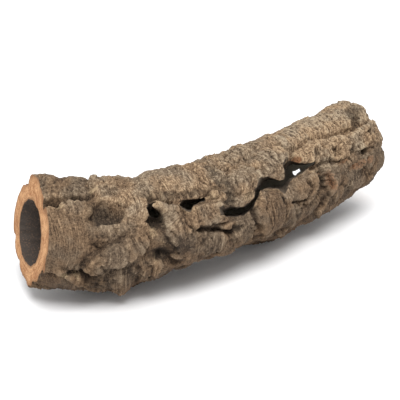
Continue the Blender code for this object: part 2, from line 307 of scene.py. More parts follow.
@dataclass(frozen=True)
class LobeRows:
    """Rows of lobes around the limb, every other row moved on, each lobe drawn at random about its place.

    A size is drawn from its span, or taken as it is where the span has the same number twice.
    """

    rows: int
    in_row: int
    first: tuple[float, float]
    pitch: tuple[float, float]
    moved_on: float
    jitter: tuple[float, float]
    half_along: Span
    half_around: Span
    rise: Span
    turn: Span
    boxy: Span = (Lobe.boxy, Lobe.boxy)
    edge: Span = (Lobe.edge, Lobe.edge)
    join: float = Lobe.join

    def lobes(self, seed: int) -> list[Lobe]:
        """Draw the lobes row by row, with the draws started from a seed."""
        chance = random.Random(seed)
        return [self.lobe(chance, row, place) for row, place in product(range(self.rows), range(self.in_row))]

    def lobe(self, chance: random.Random, row: int, place: int) -> Lobe:
        """Draw one lobe.

        Args:
            chance: The random draws.
            row: Its row.
            place: Its place in the row.

        Returns:
            The lobe.
        """
        along = self.first[0] + self.pitch[0] * row
        around = self.first[1] + self.pitch[1] * place + self.moved_on * (row % 2)
        return Lobe(
            along=along + chance.uniform(-self.jitter[0], self.jitter[0]),
            around=around + chance.uniform(-self.jitter[1], self.jitter[1]),
            half_along=chance.uniform(*self.half_along),
            half_around=chance.uniform(*self.half_around),
            rise=chance.uniform(*self.rise),
            turn=chance.uniform(*self.turn),
            boxy=self.drawn(chance, self.boxy),
            edge=self.drawn(chance, self.edge),
            join=self.join,
        )

    def drawn(self, chance: random.Random, span: Span) -> float:
        """Draw from a span, unless it is the same number twice."""
        return span[0] if span[0] == span[1] else chance.uniform(*span)


@dataclass(frozen=True)
class Dent(Spot):
    """A hollow in the bark, such as an old knot."""

    depth: float
    steepness: float = 0.8

    def sunk(self, places: Places) -> np.ndarray:
        """How far the dent lowers the bark at each place."""
        return self.depth * (1 - smooth_step(self.distance(places) * self.steepness))


@dataclass(frozen=True)
class Patch(Spot):
    """A stain on the bark, a patch of painted shade, or a kind of surface: its oval, its strength, and how
    far out it fades.
    """

    strength: float = 1.0
    fades_by: float = 1.6

    def cover(self, places: Places) -> np.ndarray:
        """How strongly the patch covers each place."""
        return self.strength * smooth_step(self.fades_by - self.distance(places))


def covered(patches: Iterable[Patch], places: Places) -> np.ndarray:
    """How strongly each place is covered, from 0 to 1, by the patch that covers it most."""
    return np.maximum.reduce([patch.cover(places) for patch in patches])


@dataclass(frozen=True)
class Furrow:
    """A crack through places (along, around), with its width and depth."""

    width: float
    depth: float
    route: Route
    spread: float = 1.6

    def sunk(self, places: Places) -> np.ndarray:
        """How far the furrow lowers the bark at each place."""
        return self.depth * (1 - smooth_step(places.distance_to(self.route) / (self.width * self.spread)))


@dataclass(frozen=True)
class Scarp:
    """An overlapping edge of bark, which stands proud on the left of its route and fades out over its run.

    Left is as seen with the near end on the left and the angle rising upwards. Past the ends of its route it
    fades over a share of its run.
    """

    rise: float
    run: float
    route: Route
    steepness: float = 0.0016
    end_share: float = 0.3

    def lift(self, places: Places) -> np.ndarray:
        """How far the scarp lifts the bark.

        Args:
            places: The places.

        Returns:
            The lift, full just inside the edge and none beyond it.
        """
        nearest = np.full(places.along.shape, 1.0)
        side = np.zeros(nearest.shape)
        past_ends = np.zeros(nearest.shape)
        for start, end in zip(self.route[:-1], self.route[1:]):
            run, rise = end[0] - start[0], (end[1] - start[1]) * DEGREE
            length = math.hypot(run, rise)
            across, up = places.offset(*start)
            share = (across * run + up * rise) / length**2
            held = np.clip(share, 0.0, 1.0)
            away = np.hypot(across - held * run, up - held * rise)
            closer = away < nearest
            side = np.where(closer, (run * up - rise * across) / length, side)
            past_ends = np.where(closer, np.abs(share - held) * length, past_ends)
            nearest = np.minimum(nearest, away)
        signed = np.where(side > 0, nearest, -nearest)
        past_ends = past_ends / (self.end_share * self.run)
        fade = (1 - smooth_step(signed / self.run)) * (1 - smooth_step(past_ends))
        return self.rise * fade * smooth_step(0.5 + signed / self.steepness)


@dataclass(frozen=True)
class Gap:
    """An opening through the wall, with its rim as places (along, around).

    Each of its slants is a distance along the limb, and how far the opening leans along and around it there
    for each metre of depth.
    """

    name: str
    rim: Route
    slants: tuple[tuple[float, float, float], ...]

    @property
    def closed_rim(self) -> Route:
        """The rim with its first place again at its end."""
        return (*self.rim, self.rim[0])


@dataclass(frozen=True)
class SawCut:
    """A flat saw cut: where it crosses the limb's line, its two leans, and which end it takes off."""

    crosses: float
    front_lean: float
    top_lean: float
    end: int

    def plane(self, line: LimbLine) -> tuple[Vector, Vector]:
        """Give the cut's plane.

        Args:
            line: The limb's line.

        Returns:
            A point on the plane, and its normal on the side of the waste.
        """
        middle = Vector(line.place(Places(np.array([self.crosses]), np.zeros(1)), np.zeros(1))[0])
        forward = line.forward(self.crosses)
        front = Vector((forward.y, -forward.x, 0.0))
        normal = forward - self.front_lean * front - self.top_lean * Vector((0.0, 0.0, 1.0))
        return middle, (self.end * normal).normalized()


# The near end: the sawn ring's foot and top, and the lobes around the dimple at (0.070, 43).
NEAR_LOBES = (
    Lobe(0.033, 18, 0.029, 35, 0.0135, 0, 4.0, join=0.006),
    Lobe(0.044, 52, 0.017, 12, 0.0136, 0, 3.0, join=0.007),
    Lobe(0.068, 42, 0.027, 25, 0.0122, 0, 2.6, join=0.009),
    Lobe(0.024, 92, 0.038, 32, 0.0146, 0, 3.2, bow=0.001, join=0.006, grooved=0.7),
    Lobe(0.004, 98, 0.030, 22, 0.0195),
    Lobe(0.043, 95, 0.012, 12, 0.0172, edge=3.0),
    Lobe(0.047, 122, 0.014, 14, 0.0150),
    Lobe(0.076, 98, 0.017, 24, 0.0138),
    Lobe(0.067, 71, 0.011, 9, 0.0128),
    Lobe(0.092, 52, 0.016, 23, 0.0142, 0, 3.6, 0.12, join=0.006, grooved=0.5),
    Lobe(0.079, 24, 0.024, 10, 0.0134, 10, 3.0, join=0.008),
    Lobe(0.082, 9, 0.027, 14, 0.0164, 38, 2.8, 0.10, -0.16, bow=0.004, edge=3.4, grooved=0.5),
    Lobe(0.061, -8, 0.010, 14, 0.0110, join=0.007),
    Lobe(0.077, -36, 0.015, 36, 0.0205, 4, 1.6, 0.0, -0.16, bow=0.0, edge=1.4, join=0.004, grooved=0.5),
    Lobe(0.099, -16, 0.015, 24, 0.0130, 0, 3.2, bow=0.001, join=0.007, grooved=0.75),
    Lobe(0.022, -42, 0.034, 23, 0.0130, 0, 4.0),
    Lobe(0.002, -72, 0.034, 18, 0.0168, 0, 2.0, edge=2.2),
    Lobe(0.094, -92, 0.026, 26, 0.0155),
    Lobe(0.057, -42, 0.013, 22, 0.0138),
    Lobe(0.110, 19, 0.012, 9, 0.0130, -30),
    Lobe(0.1065, 21, 0.0045, 10, 0.0165, 10, 2.4, edge=2.2, join=0.002),
)
# The middle: first the horn, then the tip that hangs into the long gap, the roll on top and the rest.
MIDDLE_LOBES = (
    Lobe(0.117, 46.5, 0.0105, 6.5, 0.0174, -12, 2.0, -0.10, bow=0.010, edge=2.4, join=0.005),
    Lobe(0.126, 42, 0.0110, 8, 0.0162, 0, 2.2, edge=2.6, join=0.006),
    Lobe(0.130, 19, 0.032, 10, 0.0172, 104, 2.6, bow=-0.006, edge=3.2, join=0.004, grooved=0.5),
    Lobe(0.137, 3, 0.015, 17, 0.0136, bow=0.001, join=0.009),
    Lobe(0.158, 30, 0.020, 13, 0.0145, 0, 5.0, 0.10, 0.06, bow=0.002, edge=7.0, grooved=0.5),
    Lobe(0.168, 42, 0.013, 9, 0.0142, 8, 3.0, edge=2.6, join=0.006),
    Lobe(0.160, 45, 0.004, 6, 0.0172, 0, 2.0, edge=1.8, join=0.002),
    Lobe(0.171, 47, 0.004, 7, 0.0180, -15, 2.0, edge=1.8, join=0.002),
    Lobe(0.180, 44, 0.004, 9, 0.0180, -20, 2.0, edge=1.8, join=0.002),
    Lobe(0.141, -10, 0.020, 13, 0.0128, 0, 3.0, bow=0.001, join=0.009, grooved=0.6),
    Lobe(0.163, -4, 0.015, 13, 0.0135, 0, 4.0, bow=0.001, join=0.008, grooved=0.8),
    Lobe(0.172, 24, 0.008, 8, 0.0150, 0, 4.0, edge=6.0, join=0.002),
    Lobe(0.175, 10, 0.007, 7, 0.0120),
    Lobe(0.139, 85, 0.034, 32, 0.0158, 0, 3.6, bow=0.001, edge=3.4, join=0.005, grooved=0.55),
    Lobe(0.181, 90, 0.017, 28, 0.0136),
    Lobe(0.187, 51, 0.013, 16, 0.0105, 0, 3.0),
    Lobe(0.212, 50, 0.020, 20, 0.0180, -6, 2.8, 0.06, -0.08, bow=0.016, edge=3.8, join=0.004, grooved=0.9),
    Lobe(0.202, 33, 0.016, 8, 0.0152, 0, 2.6, bow=0.010, join=0.006, grooved=0.7),
    Lobe(0.229, 49, 0.009, 9, 0.0178, 0, 2.4, bow=0.010, edge=3.4, join=0.003),
    Lobe(0.209, 98, 0.022, 25, 0.0142),
    Lobe(0.243, 100, 0.026, 22, 0.0142),
    Lobe(0.266, 62, 0.022, 26, 0.0160, -20, 3.0, 0.10, bow=0.008, edge=3.6, join=0.005, grooved=0.8),
    Lobe(0.264, 38, 0.010, 4.5, 0.0140, 22, 2.2),
    Lobe(0.196, -2, 0.015, 20, 0.0138, 0, 3.6, bow=0.003, join=0.006, grooved=0.8),
    Lobe(0.241, 6, 0.030, 31, 0.0164, 0, 2.8, bow=0.014, edge=3.0, join=0.004, grooved=0.7),
)
# The far end: the long smooth piece on top, and small broken lobes in front.
FAR_LOBES = (
    Lobe(0.286, 20, 0.027, 16, 0.0148, 6, 2.6, bow=0.014, edge=3.2, join=0.004, grooved=0.35),
    Lobe(0.290, -12, 0.032, 11, 0.0122, 4, 3.0, join=0.007),
    Lobe(0.288, 99, 0.026, 24, 0.0140, 0, 3.0, join=0.005),
    Lobe(0.366, 91, 0.072, 31, 0.0144, -5, 5.0, bow=0.006, edge=4.0, join=0.005, grooved=0.9),
    Lobe(0.420, 92, 0.026, 32, 0.0158, 0, 4.0),
    Lobe(0.287, -92, 0.030, 25, 0.0165),
    Lobe(0.324, 51, 0.029, 11, 0.0156, -6, 2.8, 0.06, bow=0.002, edge=3.4, join=0.005),
    Lobe(0.350, 42, 0.016, 12, 0.0148, 0, 3.2, join=0.006),
    Lobe(0.394, 40, 0.040, 17, 0.0150, -6, 4.0, bow=0.002, edge=3.4, join=0.006),
    Lobe(0.378, 8, 0.046, 22, 0.0118, 0, 4.0, bow=0.002, join=0.008, grooved=1.2),
    Lobe(0.350, 22, 0.013, 8, 0.0142),
    Lobe(0.374, 23, 0.013, 7, 0.0140, join=0.006),
    Lobe(0.389, 12, 0.014, 8, 0.0146, 10, join=0.006),
    Lobe(0.409, 8, 0.010, 10, 0.0146, join=0.006),
    Lobe(0.362, 5, 0.014, 9, 0.0142, join=0.006),
    Lobe(0.384, -8, 0.016, 9, 0.0138, -8, join=0.006),
    Lobe(0.347, -8, 0.012, 11, 0.0140, join=0.006),
    Lobe(0.427, 21, 0.013, 14, 0.0142, edge=3.0, join=0.008),
    Lobe(0.430, 60, 0.020, 18, 0.0128, 0, 3.0, join=0.008),
    Lobe(0.434, 76, 0.014, 14, 0.0136, join=0.007),
    Lobe(0.430, -4, 0.016, 16, 0.0136, edge=3.0, join=0.009),
    Lobe(0.408, -19, 0.014, 11, 0.0150, join=0.006),
    Lobe(0.333, 10, 0.006, 18, 0.0140, 0, 2.6),
    Lobe(0.350, -32, 0.056, 17, 0.0125, 0, 4.0, grooved=1.0),
)
# The side and the underside that face away.
HIDDEN_LOBES = LobeRows(
    rows=12,
    in_row=5,
    first=(-0.022, 139),
    pitch=(0.041, 29),
    moved_on=13,
    jitter=(0.010, 7),
    half_along=(0.017, 0.027),
    half_around=(14, 22),
    rise=(0.0120, 0.0155),
    turn=(-35, 35),
    boxy=(2.4, 3.6),
)
# Small low lobes all over, which show only between the large ones.
FILLER_LOBES = LobeRows(
    rows=28,
    in_row=20,
    first=(-0.010, 0),
    pitch=(0.017, 18),
    moved_on=9,
    jitter=(0.005, 5),
    half_along=(0.008, 0.013),
    half_around=(8, 13),
    rise=(0.0085, 0.0128),
    turn=(-60, 60),
    edge=(2.0, 4.0),
    join=0.005,
)
DENTS = (
    Dent(-0.004, -30, 0.015, 15, 0.0060),
    Dent(-0.008, -112, 0.016, 16, 0.0070),
    Dent(0.070, 43, 0.0170, 15.5, 0.0205),
    Dent(0.062, 57, 0.0090, 8, 0.0070),
    Dent(0.112, 32, 0.010, 10, 0.0140),
    Dent(0.113, -2, 0.012, 8, 0.0120),
    Dent(0.124, -14, 0.009, 8, 0.0080),
    Dent(0.048, -21, 0.008, 8, 0.0080),
    Dent(0.321, 15, 0.0130, 16, 0.0150),
    Dent(0.329, 48, 0.006, 6, 0.0060),
    Dent(0.358, 41, 0.007, 7, 0.0085),
    Dent(0.415, 62, 0.009, 9, 0.0085),
    Dent(0.421, 74, 0.014, 12, 0.0030),
    Dent(0.421, 39, 0.006, 6, 0.0075),
    Dent(0.382, 33, 0.007, 6, 0.0070),
    Dent(0.402, 24, 0.008, 6, 0.0075),
    Dent(0.183, 5, 0.008, 7, 0.0070),
    Dent(0.288, 51, 0.012, 8, 0.0110),
)
FURROWS = (
    Furrow(0.0052, 0.0055, ((-0.044, 57), (0.010, 57), (0.024, 61), (0.038, 67), (0.060, 69))),
    Furrow(0.0050, 0.0030, ((0.080, 21), (0.068, 19), (0.060, 14), (0.052, 4), (0.046, -8))),
    Furrow(0.0030, 0.0040, ((0.030, -22), (0.047, -18))),
    Furrow(0.0034, 0.0080, ((0.150, 15), (0.162, 12), (0.168, 9), (0.180, 2))),
    Furrow(0.0030, 0.0050, ((0.210, 20), (0.210, 9), (0.214, -5))),
    Furrow(0.0050, 0.0040, ((0.294, 63), (0.312, 69), (0.345, 66), (0.368, 59), (0.400, 54), (0.460, 51))),
    Furrow(0.0038, 0.0070, ((0.310, 39), (0.326, 36), (0.346, 33))),
    Furrow(0.0030, 0.0060, ((0.262, 10), (0.272, 5), (0.290, 4))),
    Furrow(0.0020, 0.0040, ((0.367, 60), (0.371, 80), (0.376, 104))),
    Furrow(0.0018, 0.0026, ((0.115, 57), (0.114, 68))),
    Furrow(0.0020, 0.0028, ((0.121, 55), (0.121, 66))),
    Furrow(0.0022, 0.0030, ((0.128, 50), (0.127, 64))),
    Furrow(0.0018, 0.0024, ((0.135, 50), (0.135, 61))),
    Furrow(0.0022, 0.0030, ((0.143, 49), (0.142, 65))),
    Furrow(0.0020, 0.0026, ((0.151, 49), (0.150, 62))),
    Furrow(0.0018, 0.0022, ((0.159, 50), (0.158, 60))),
    Furrow(0.0016, 0.0026, ((0.228, 30), (0.224, 14), (0.228, 0))),
    Furrow(0.0018, 0.0030, ((0.247, 27), (0.251, 10), (0.252, -10))),
    Furrow(0.0016, 0.0026, ((0.221, 68), (0.219, 50), (0.214, 36))),
    Furrow(0.0018, 0.0034, ((0.294, 26), (0.297, 14), (0.288, 6))),
    Furrow(0.0020, 0.0030, ((0.090, -12), (0.093, -40))),
    Furrow(0.0012, 0.0022, ((0.093, 20), (0.097, 12), (0.096, 3))),
    Furrow(0.0012, 0.0020, ((0.087, 20), (0.091, 10), (0.089, -1))),
    Furrow(0.0010, 0.0020, ((0.080, 17), (0.083, 8), (0.081, -3))),
    Furrow(0.0020, 0.0030, ((0.100, -10), (0.104, -40))),
    Furrow(0.0010, 0.0022, ((0.121, 39), (0.124, 28), (0.127, 14), (0.132, 0))),
    Furrow(0.0011, 0.0022, ((0.127, 42), (0.131, 30), (0.133, 16), (0.137, 2))),
    Furrow(0.0010, 0.0024, ((0.133, 45), (0.138, 34), (0.140, 18))),
    Furrow(0.0018, 0.0026, ((0.266, 74), (0.263, 52), (0.258, 44))),
    Furrow(0.0018, 0.0026, ((0.277, 84), (0.272, 60), (0.265, 48))),
    Furrow(0.0018, 0.0026, ((0.340, 70), (0.342, 96))),
    Furrow(0.0035, 0.0040, ((0.236, 60), (0.238, 72), (0.240, 90))),
    Furrow(0.0018, 0.0026, ((0.385, 62), (0.388, 90))),
)
SCARPS = (
    Scarp(0.0040, 0.020, ((0.040, 64), (0.024, 57), (0.010, 54), (-0.044, 54))),
    Scarp(0.0045, 0.022, ((0.060, -13), (0.070, -8), (0.084, 0), (0.096, 8), (0.101, 14))),
    Scarp(0.0030, 0.020, ((0.103, 22), (0.105, 34), (0.106, 48), (0.107, 60), (0.104, 72))),
    Scarp(0.0030, 0.016, ((0.112, 58), (0.122, 54), (0.135, 50), (0.150, 50), (0.165, 50), (0.172, 54))),
    Scarp(0.0050, 0.014, ((0.170, 18), (0.178, 30), (0.176, 38), (0.180, 46), (0.171, 50))),
    Scarp(0.0045, 0.014, ((0.138, 17), (0.148, 18), (0.160, 19), (0.171, 18))),
    Scarp(0.0035, 0.020, ((0.224, 32), (0.231, 46), (0.230, 60), (0.222, 76))),
    Scarp(0.0060, 0.026, ((0.256, 34), (0.262, 40), (0.274, 46), (0.290, 59), (0.303, 80))),
    Scarp(0.0035, 0.022, ((0.171, 58), (0.168, 72), (0.164, 90), (0.166, 108))),
    Scarp(0.0050, 0.022, ((0.226, 34), (0.212, 23), (0.213, 10), (0.217, -4), (0.223, -20))),
    Scarp(0.0030, 0.008, ((0.282, 0), (0.298, 8), (0.303, 17), (0.301, 27))),
    Scarp(0.0060, 0.020, ((0.276, -5), (0.297, 2), (0.308, 11), (0.311, 20), (0.309, 30))),
    Scarp(0.0055, 0.020, ((0.331, 30), (0.334, 18), (0.333, 6), (0.328, -13), (0.316, -20))),
    Scarp(0.0035, 0.016, ((0.450, 48), (0.400, 52), (0.368, 57), (0.345, 63), (0.312, 66), (0.300, 62))),
    Scarp(0.0022, 0.016, ((0.369, 58), (0.370, 80), (0.373, 100))),
    Scarp(0.0045, 0.014, ((-0.012, -20), (0.010, -19), (0.022, -21), (0.034, -27), (0.050, -40))),
    Scarp(0.0030, 0.018, ((0.082, 20), (0.070, 17), (0.063, 12), (0.056, 2), (0.049, -10))),
    Scarp(0.0035, 0.018, ((0.064, 104), (0.057, 92), (0.059, 80), (0.064, 70))),
    Scarp(0.0065, 0.016, ((0.116, 42), (0.117, 31), (0.119, 19), (0.123, 8), (0.131, -5)), 0.0011),
    Scarp(0.0028, 0.018, ((0.190, -30), (0.186, -14), (0.182, -2), (0.186, 10))),
    Scarp(0.0050, 0.022, ((0.272, -24), (0.271, -10), (0.267, 2), (0.263, 14), (0.257, 26))),
    Scarp(0.0030, 0.016, ((0.108, -30), (0.112, -18), (0.110, -10))),
    Scarp(0.0036, 0.010, ((0.085, 46), (0.081, 36), (0.074, 31), (0.065, 33))),
    Scarp(0.0030, 0.010, ((0.056, 42), (0.060, 54), (0.069, 60))),
    Scarp(0.0024, 0.016, ((0.214, 76), (0.212, 92), (0.216, 112))),
    Scarp(0.0030, 0.018, ((0.256, 80), (0.258, 98), (0.264, 114))),
    Scarp(0.0026, 0.016, ((0.300, 72), (0.303, 92), (0.308, 112))),
    Scarp(0.0024, 0.014, ((0.400, 62), (0.403, 80), (0.407, 100))),
    Scarp(0.0030, 0.016, ((0.352, 30), (0.372, 31), (0.400, 28), (0.425, 30))),
    Scarp(0.0028, 0.016, ((0.340, -16), (0.366, -14), (0.392, -16), (0.420, -12))),
)
FINE_CRACKS = (
    Furrow(0.0008, 0.0030, ((0.232, 34), (0.229, 18), (0.233, 2))),
    Furrow(0.0008, 0.0030, ((0.338, 57), (0.343, 54), (0.346, 49))),
    Furrow(0.0007, 0.0025, ((0.401, 62), (0.404, 80), (0.407, 98))),
    Furrow(0.0008, 0.0030, ((0.033, 61), (0.036, 57))),
    Furrow(0.0009, 0.0030, ((0.276, 2), (0.290, -1), (0.304, 1))),
    Furrow(0.0009, 0.0030, ((0.122, 20), (0.126, 14), (0.130, 9))),
    Furrow(0.0008, 0.0025, ((0.080, 55), (0.084, 50), (0.092, 52))),
)
GAPS = (
    Gap(
        "horn_gap",
        ((0.106, 48), (0.109, 54), (0.117, 54), (0.112, 50), (0.116, 43), (0.116, 38), (0.112, 34),
         (0.107, 38)),
        ((0.110, 0.33, 320.0),),
    ),
    Gap(
        "roll_gap",
        ((0.136, 46), (0.141, 37), (0.145, 37), (0.148, 41), (0.154, 43), (0.162, 44), (0.163, 48),
         (0.150, 49), (0.141, 50)),
        ((0.149, 0.52, 380.0),),
    ),
    Gap(
        "long_gap",
        ((0.174, 31), (0.182, 32), (0.190, 28), (0.200, 26), (0.209, 28), (0.216, 32), (0.220, 38),
         (0.227, 42), (0.235, 47), (0.243, 46), (0.250, 41), (0.257, 37), (0.263, 37), (0.268, 42),
         (0.273, 52), (0.285, 57), (0.295, 47), (0.303, 43), (0.314, 41), (0.320, 39), (0.314, 37),
         (0.303, 36), (0.288, 34), (0.279, 33), (0.270, 31), (0.262, 26), (0.257, 24), (0.250, 28),
         (0.242, 32), (0.233, 35), (0.226, 35), (0.219, 30), (0.213, 24), (0.206, 19), (0.196, 17),
         (0.186, 19), (0.174, 23)),
        ((0.192, 0.74, -250.0), (0.215, 0.85, -100.0), (0.240, 0.97, 130.0), (0.290, 1.02, 130.0)),
    ),
    Gap(
        "back_gap",
        ((0.388, 209), (0.388, 215), (0.391, 220), (0.395, 217), (0.402, 216), (0.402, 210), (0.395, 211)),
        ((0.395, -0.86, -80.0),),
    ),
)
RUST_PATCHES = (
    Patch(0.298, 51, 0.006, 5),
    Patch(0.324, 24, 0.008, 5, 0.7),
    Patch(0.333, 12, 0.004, 16, 0.8),
    Patch(0.364, 27, 0.009, 3, 0.8),
    Patch(0.384, 13, 0.014, 5, 0.8),
    Patch(0.405, 9, 0.008, 5, 0.8),
    Patch(0.296, 33, 0.007, 3, 0.6),
    Patch(0.385, -16, 0.012, 5, 0.6),
    Patch(0.115, 47, 0.004, 3, 0.6),
    Patch(0.205, 33, 0.012, 4, 0.35),
    Patch(0.078, -50, 0.005, 16, 0.5),
    Patch(0.412, 24, 0.008, 5, 0.5),
    Patch(0.195, -22, 0.004, 3, 0.6),
    Patch(0.330, 200, 0.016, 12, 0.5),
    Patch(0.210, 170, 0.012, 9, 0.4),
    Patch(0.090, 230, 0.016, 10, 0.4),
)
PALE_PATCHES = (
    Patch(0.027, 56, 0.008, 2.4),
    Patch(0.042, 61, 0.011, 2.4, 0.8),
    Patch(0.027, -23, 0.007, 3),
    Patch(0.041, -22, 0.005, 7, 0.8),
    Patch(0.062, 77, 0.006, 3),
    Patch(0.107, 24, 0.005, 7, 0.9),
    Patch(0.115, 11, 0.004, 7, 0.7),
    Patch(0.107, -5, 0.002, 6),
    Patch(0.169, 46, 0.010, 4, 0.8),
    Patch(0.168, 76, 0.004, 9, 0.8),
    Patch(0.115, 47, 0.004, 3, 0.8),
    Patch(0.208, 33, 0.014, 5, 0.8),
    Patch(0.222, 40, 0.008, 4, 0.6),
    Patch(0.263, 37, 0.008, 3, 0.6),
    Patch(0.410, 90, 0.010, 14, 0.5),
    Patch(0.233, 53, 0.004, 4, 0.6),
)
# Painted shade: darker colour put where shade falls, over dents and pits, along seams, in the dimple and
# under overhanging lobes.
PAINTED_SHADE_PATCHES = (
    Patch(0.012, 61, 0.020, 4, 0.55),
    Patch(0.044, 70, 0.014, 4, 0.5),
    Patch(0.421, 74, 0.012, 10, 0.9),
    Patch(0.187, 48, 0.009, 11, 0.5),
    Patch(0.112, 34, 0.006, 8),
    Patch(0.172, 54, 0.010, 4, 0.7),
    Patch(0.187, 43, 0.005, 7, 0.7),
    Patch(0.183, 60, 0.004, 4, 0.9),
    Patch(0.192, 54, 0.003, 4, 0.9),
    Patch(0.186, 42, 0.003, 4, 0.9),
    Patch(0.188, 76, 0.006, 10, 0.7),
    Patch(0.055, -30, 0.006, 8, 0.8),
    Patch(0.120, 58, 0.020, 5, 0.7),
    Patch(0.150, 55, 0.020, 4, 0.7),
    Patch(0.063, 47, 0.010, 13, 0.65),
    Patch(0.140, 72, 0.030, 14, 0.14),
    Patch(0.073, 37, 0.008, 6, 0.65),
    Patch(0.415, 61, 0.008, 6, 0.9),
    Patch(0.382, 33, 0.004, 4, 0.8),
    Patch(0.329, 48, 0.004, 4, 0.7),
    Patch(0.356, 42, 0.004, 5, 0.9),
    Patch(0.402, 23, 0.007, 4, 0.8),
    Patch(0.421, 39, 0.004, 3, 0.9),
    Patch(0.321, 15, 0.008, 13, 0.8),
    Patch(0.183, 5, 0.006, 5, 0.9),
    Patch(0.288, 49, 0.010, 7, 0.8),
    Patch(0.030, 80, 0.022, 14, 0.35),
    Patch(0.112, 0, 0.012, 8, 0.9),
)
# Where the bark is worn smooth, and where it crumbles.
PLAIN_PATCHES = (
    Patch(0.090, -34, 0.016, 22, 0.7),
    Patch(0.070, 45, 0.018, 18),
    Patch(0.030, 20, 0.022, 28, 0.7),
    Patch(0.084, 6, 0.018, 14, 0.85),
    Patch(0.140, 72, 0.020, 14, 0.8),
    Patch(0.240, 6, 0.020, 24, 0.8),
    Patch(0.099, -16, 0.010, 18, 0.8),
    Patch(0.160, 30, 0.010, 8, 0.5),
    Patch(0.116, 14, 0.009, 16, 0.9),
    Patch(0.128, 24, 0.010, 18, 0.7),
    Patch(0.262, 60, 0.016, 16, 0.5),
    Patch(0.350, 88, 0.044, 22, 0.7),
)
CRUMBLY_PATCHES = (
    Patch(0.187, 50, 0.013, 16),
    Patch(0.188, 76, 0.010, 14),
    Patch(0.222, 88, 0.020, 18, 0.6),
    Patch(0.100, 86, 0.024, 16, 0.5),
    Patch(0.350, 42, 0.020, 12),
    Patch(0.392, 28, 0.034, 18),
    Patch(0.420, 62, 0.012, 10),
    Patch(0.060, -28, 0.014, 16),
    Patch(0.330, 24, 0.018, 12),
)


@dataclass
class Survey:
    """The outer bark on a net of places, and what its finish follows there."""

    places: Places
    radius: np.ndarray
    growth: np.ndarray
    tone: np.ndarray
    # cavity, dark and upper carry painted shade and painted light into the finish.
    cavity: np.ndarray
    rust: np.ndarray
    pale: np.ndarray
    dark: np.ndarray
    upper: np.ndarray
    grooved: np.ndarray
    slope_reach: int = 1
    gentle_slope: float = 0.3
    slope_range: float = 0.9
    lip_reach: int = 3
    lip_height: float = 0.0012

    def overhang(self, reach: float) -> Places:
        """Push the tops of steep edges out over what lies below them.

        Args:
            reach: How far the steepest edges are pushed.

        Returns:
            The places after the push.
        """
        along, around = self.places.along, self.places.around
        broad = blurred(self.radius, self.slope_reach)
        slope_along = np.gradient(broad, axis=0) / np.gradient(along, axis=0)
        slope_around = np.gradient(broad, axis=1) / (np.gradient(around, axis=1) * DEGREE)
        slope_around[:, 0] = slope_around[:, -1] = (slope_around[:, 1] + slope_around[:, -2]) / 2
        steep = np.hypot(slope_along, slope_around)
        lip = smooth_step((broad - blurred(broad, self.lip_reach)) / self.lip_height)
        push = reach * smooth_step((steep - self.gentle_slope) / self.slope_range) * lip
        push = push / np.maximum(steep, 1e-6)
        push[[0, -1]] = 0.0
        return Places(along - push * slope_along, around - push * slope_around / DEGREE)


@dataclass
class Pile:
    """Lobes piled on a net: the height, and the growth lines, tone and grooves of the highest lobe.

    The lobes' outlines follow the ragged net, and their growth lines the calm one.
    """

    calm: Places
    ragged: Places
    height: np.ndarray
    growth: np.ndarray
    tone: np.ndarray
    grooved: np.ndarray

    def add(self, lobe: Lobe, tone: float, moved: float, pattern: float) -> None:
        """Pile one more lobe on.

        Args:
            lobe: The lobe.
            tone: How light the lobe is.
            moved: How far its growth lines are moved.
            pattern: Where its growth lines' noise is read.
        """
        across, up = self.ragged.offset(lobe.along, lobe.around)
        here = (np.abs(across) < lobe.bound) & (np.abs(up) < lobe.bound)
        if not here.any():
            return
        rise = lobe.height(across[here], up[here])
        before = self.height[here]
        higher = rise > before
        across, up = self.calm.offset(lobe.along, lobe.around)
        bent = lobe.bent(across[here], up[here]) + moved
        lines = np.stack([bent, up[here], np.full(bent.shape, pattern)], axis=-1)
        self.growth[here] = np.where(higher[:, None], lines, self.growth[here])
        self.tone[here] = np.where(higher, tone, self.tone[here])
        self.grooved[here] = np.where(higher, lobe.grooved, self.grooved[here])
        self.height[here] = eased_larger(before, rise, lobe.join)


@dataclass(frozen=True)
class Scatter:
    """Where something shows on the bark: the noise it follows, how much shows where that is 0, its swing."""

    cloud: Cloud
    fineness: float
    usual: float
    swing: float

    def share(self, places: Places) -> np.ndarray:
        """From 0 where nothing shows to 1."""
        return smooth_step(self.usual + self.swing * places.grain(self.fineness, self.cloud))


@dataclass(frozen=True)
class GrowthLines:
    """Uneven growth lines with sharp edges: their pitch, depth and sway, and how their strength varies."""

    pitch: float
    depth: float
    sway: float = 1.3
    sharpness: float = 1.6
    noise_size: tuple[float, float] = (2.5, 12)
    strength_fineness: float = 0.8
    strength_shift: float = 5.0
    usual: float = 0.6
    swing: float = 1.4
    most: float = 1.5

    def profile(self, growth: np.ndarray) -> np.ndarray:
        """The shape of the lines.

        Args:
            growth: Across the lines and along them in metres, and where the lobe's noise is read.

        Returns:
            Heights from about -1 to 1.
        """
        across, along = self.noise_size
        spots = growth / (self.pitch * across, self.pitch * along, 1.0)
        turns = growth[..., 0] / self.pitch + self.sway * noise_at(spots)
        strength = noise_at(spots * self.strength_fineness + self.strength_shift)
        strength = np.clip(self.usual + self.swing * strength, 0.0, self.most)
        return (2 * (turns - np.floor(turns)) ** self.sharpness - 1) * strength


@dataclass(frozen=True)
class Ledges:
    """Thin layers that break off in ragged steps, drawn out along the growth lines."""

    depth: float = 0.0022
    size: tuple[float, float] = (0.012, 0.034)
    count: float = 3.0
    raggedness: float = 0.6

    def step(self, growth: np.ndarray, sway: np.ndarray) -> np.ndarray:
        """From 0 at the top of each step to 1 at its foot, at places swayed from the growth lines."""
        level = self.count * noise_at((growth + self.raggedness * sway) / (*self.size, 1.0))
        return level - np.floor(level)


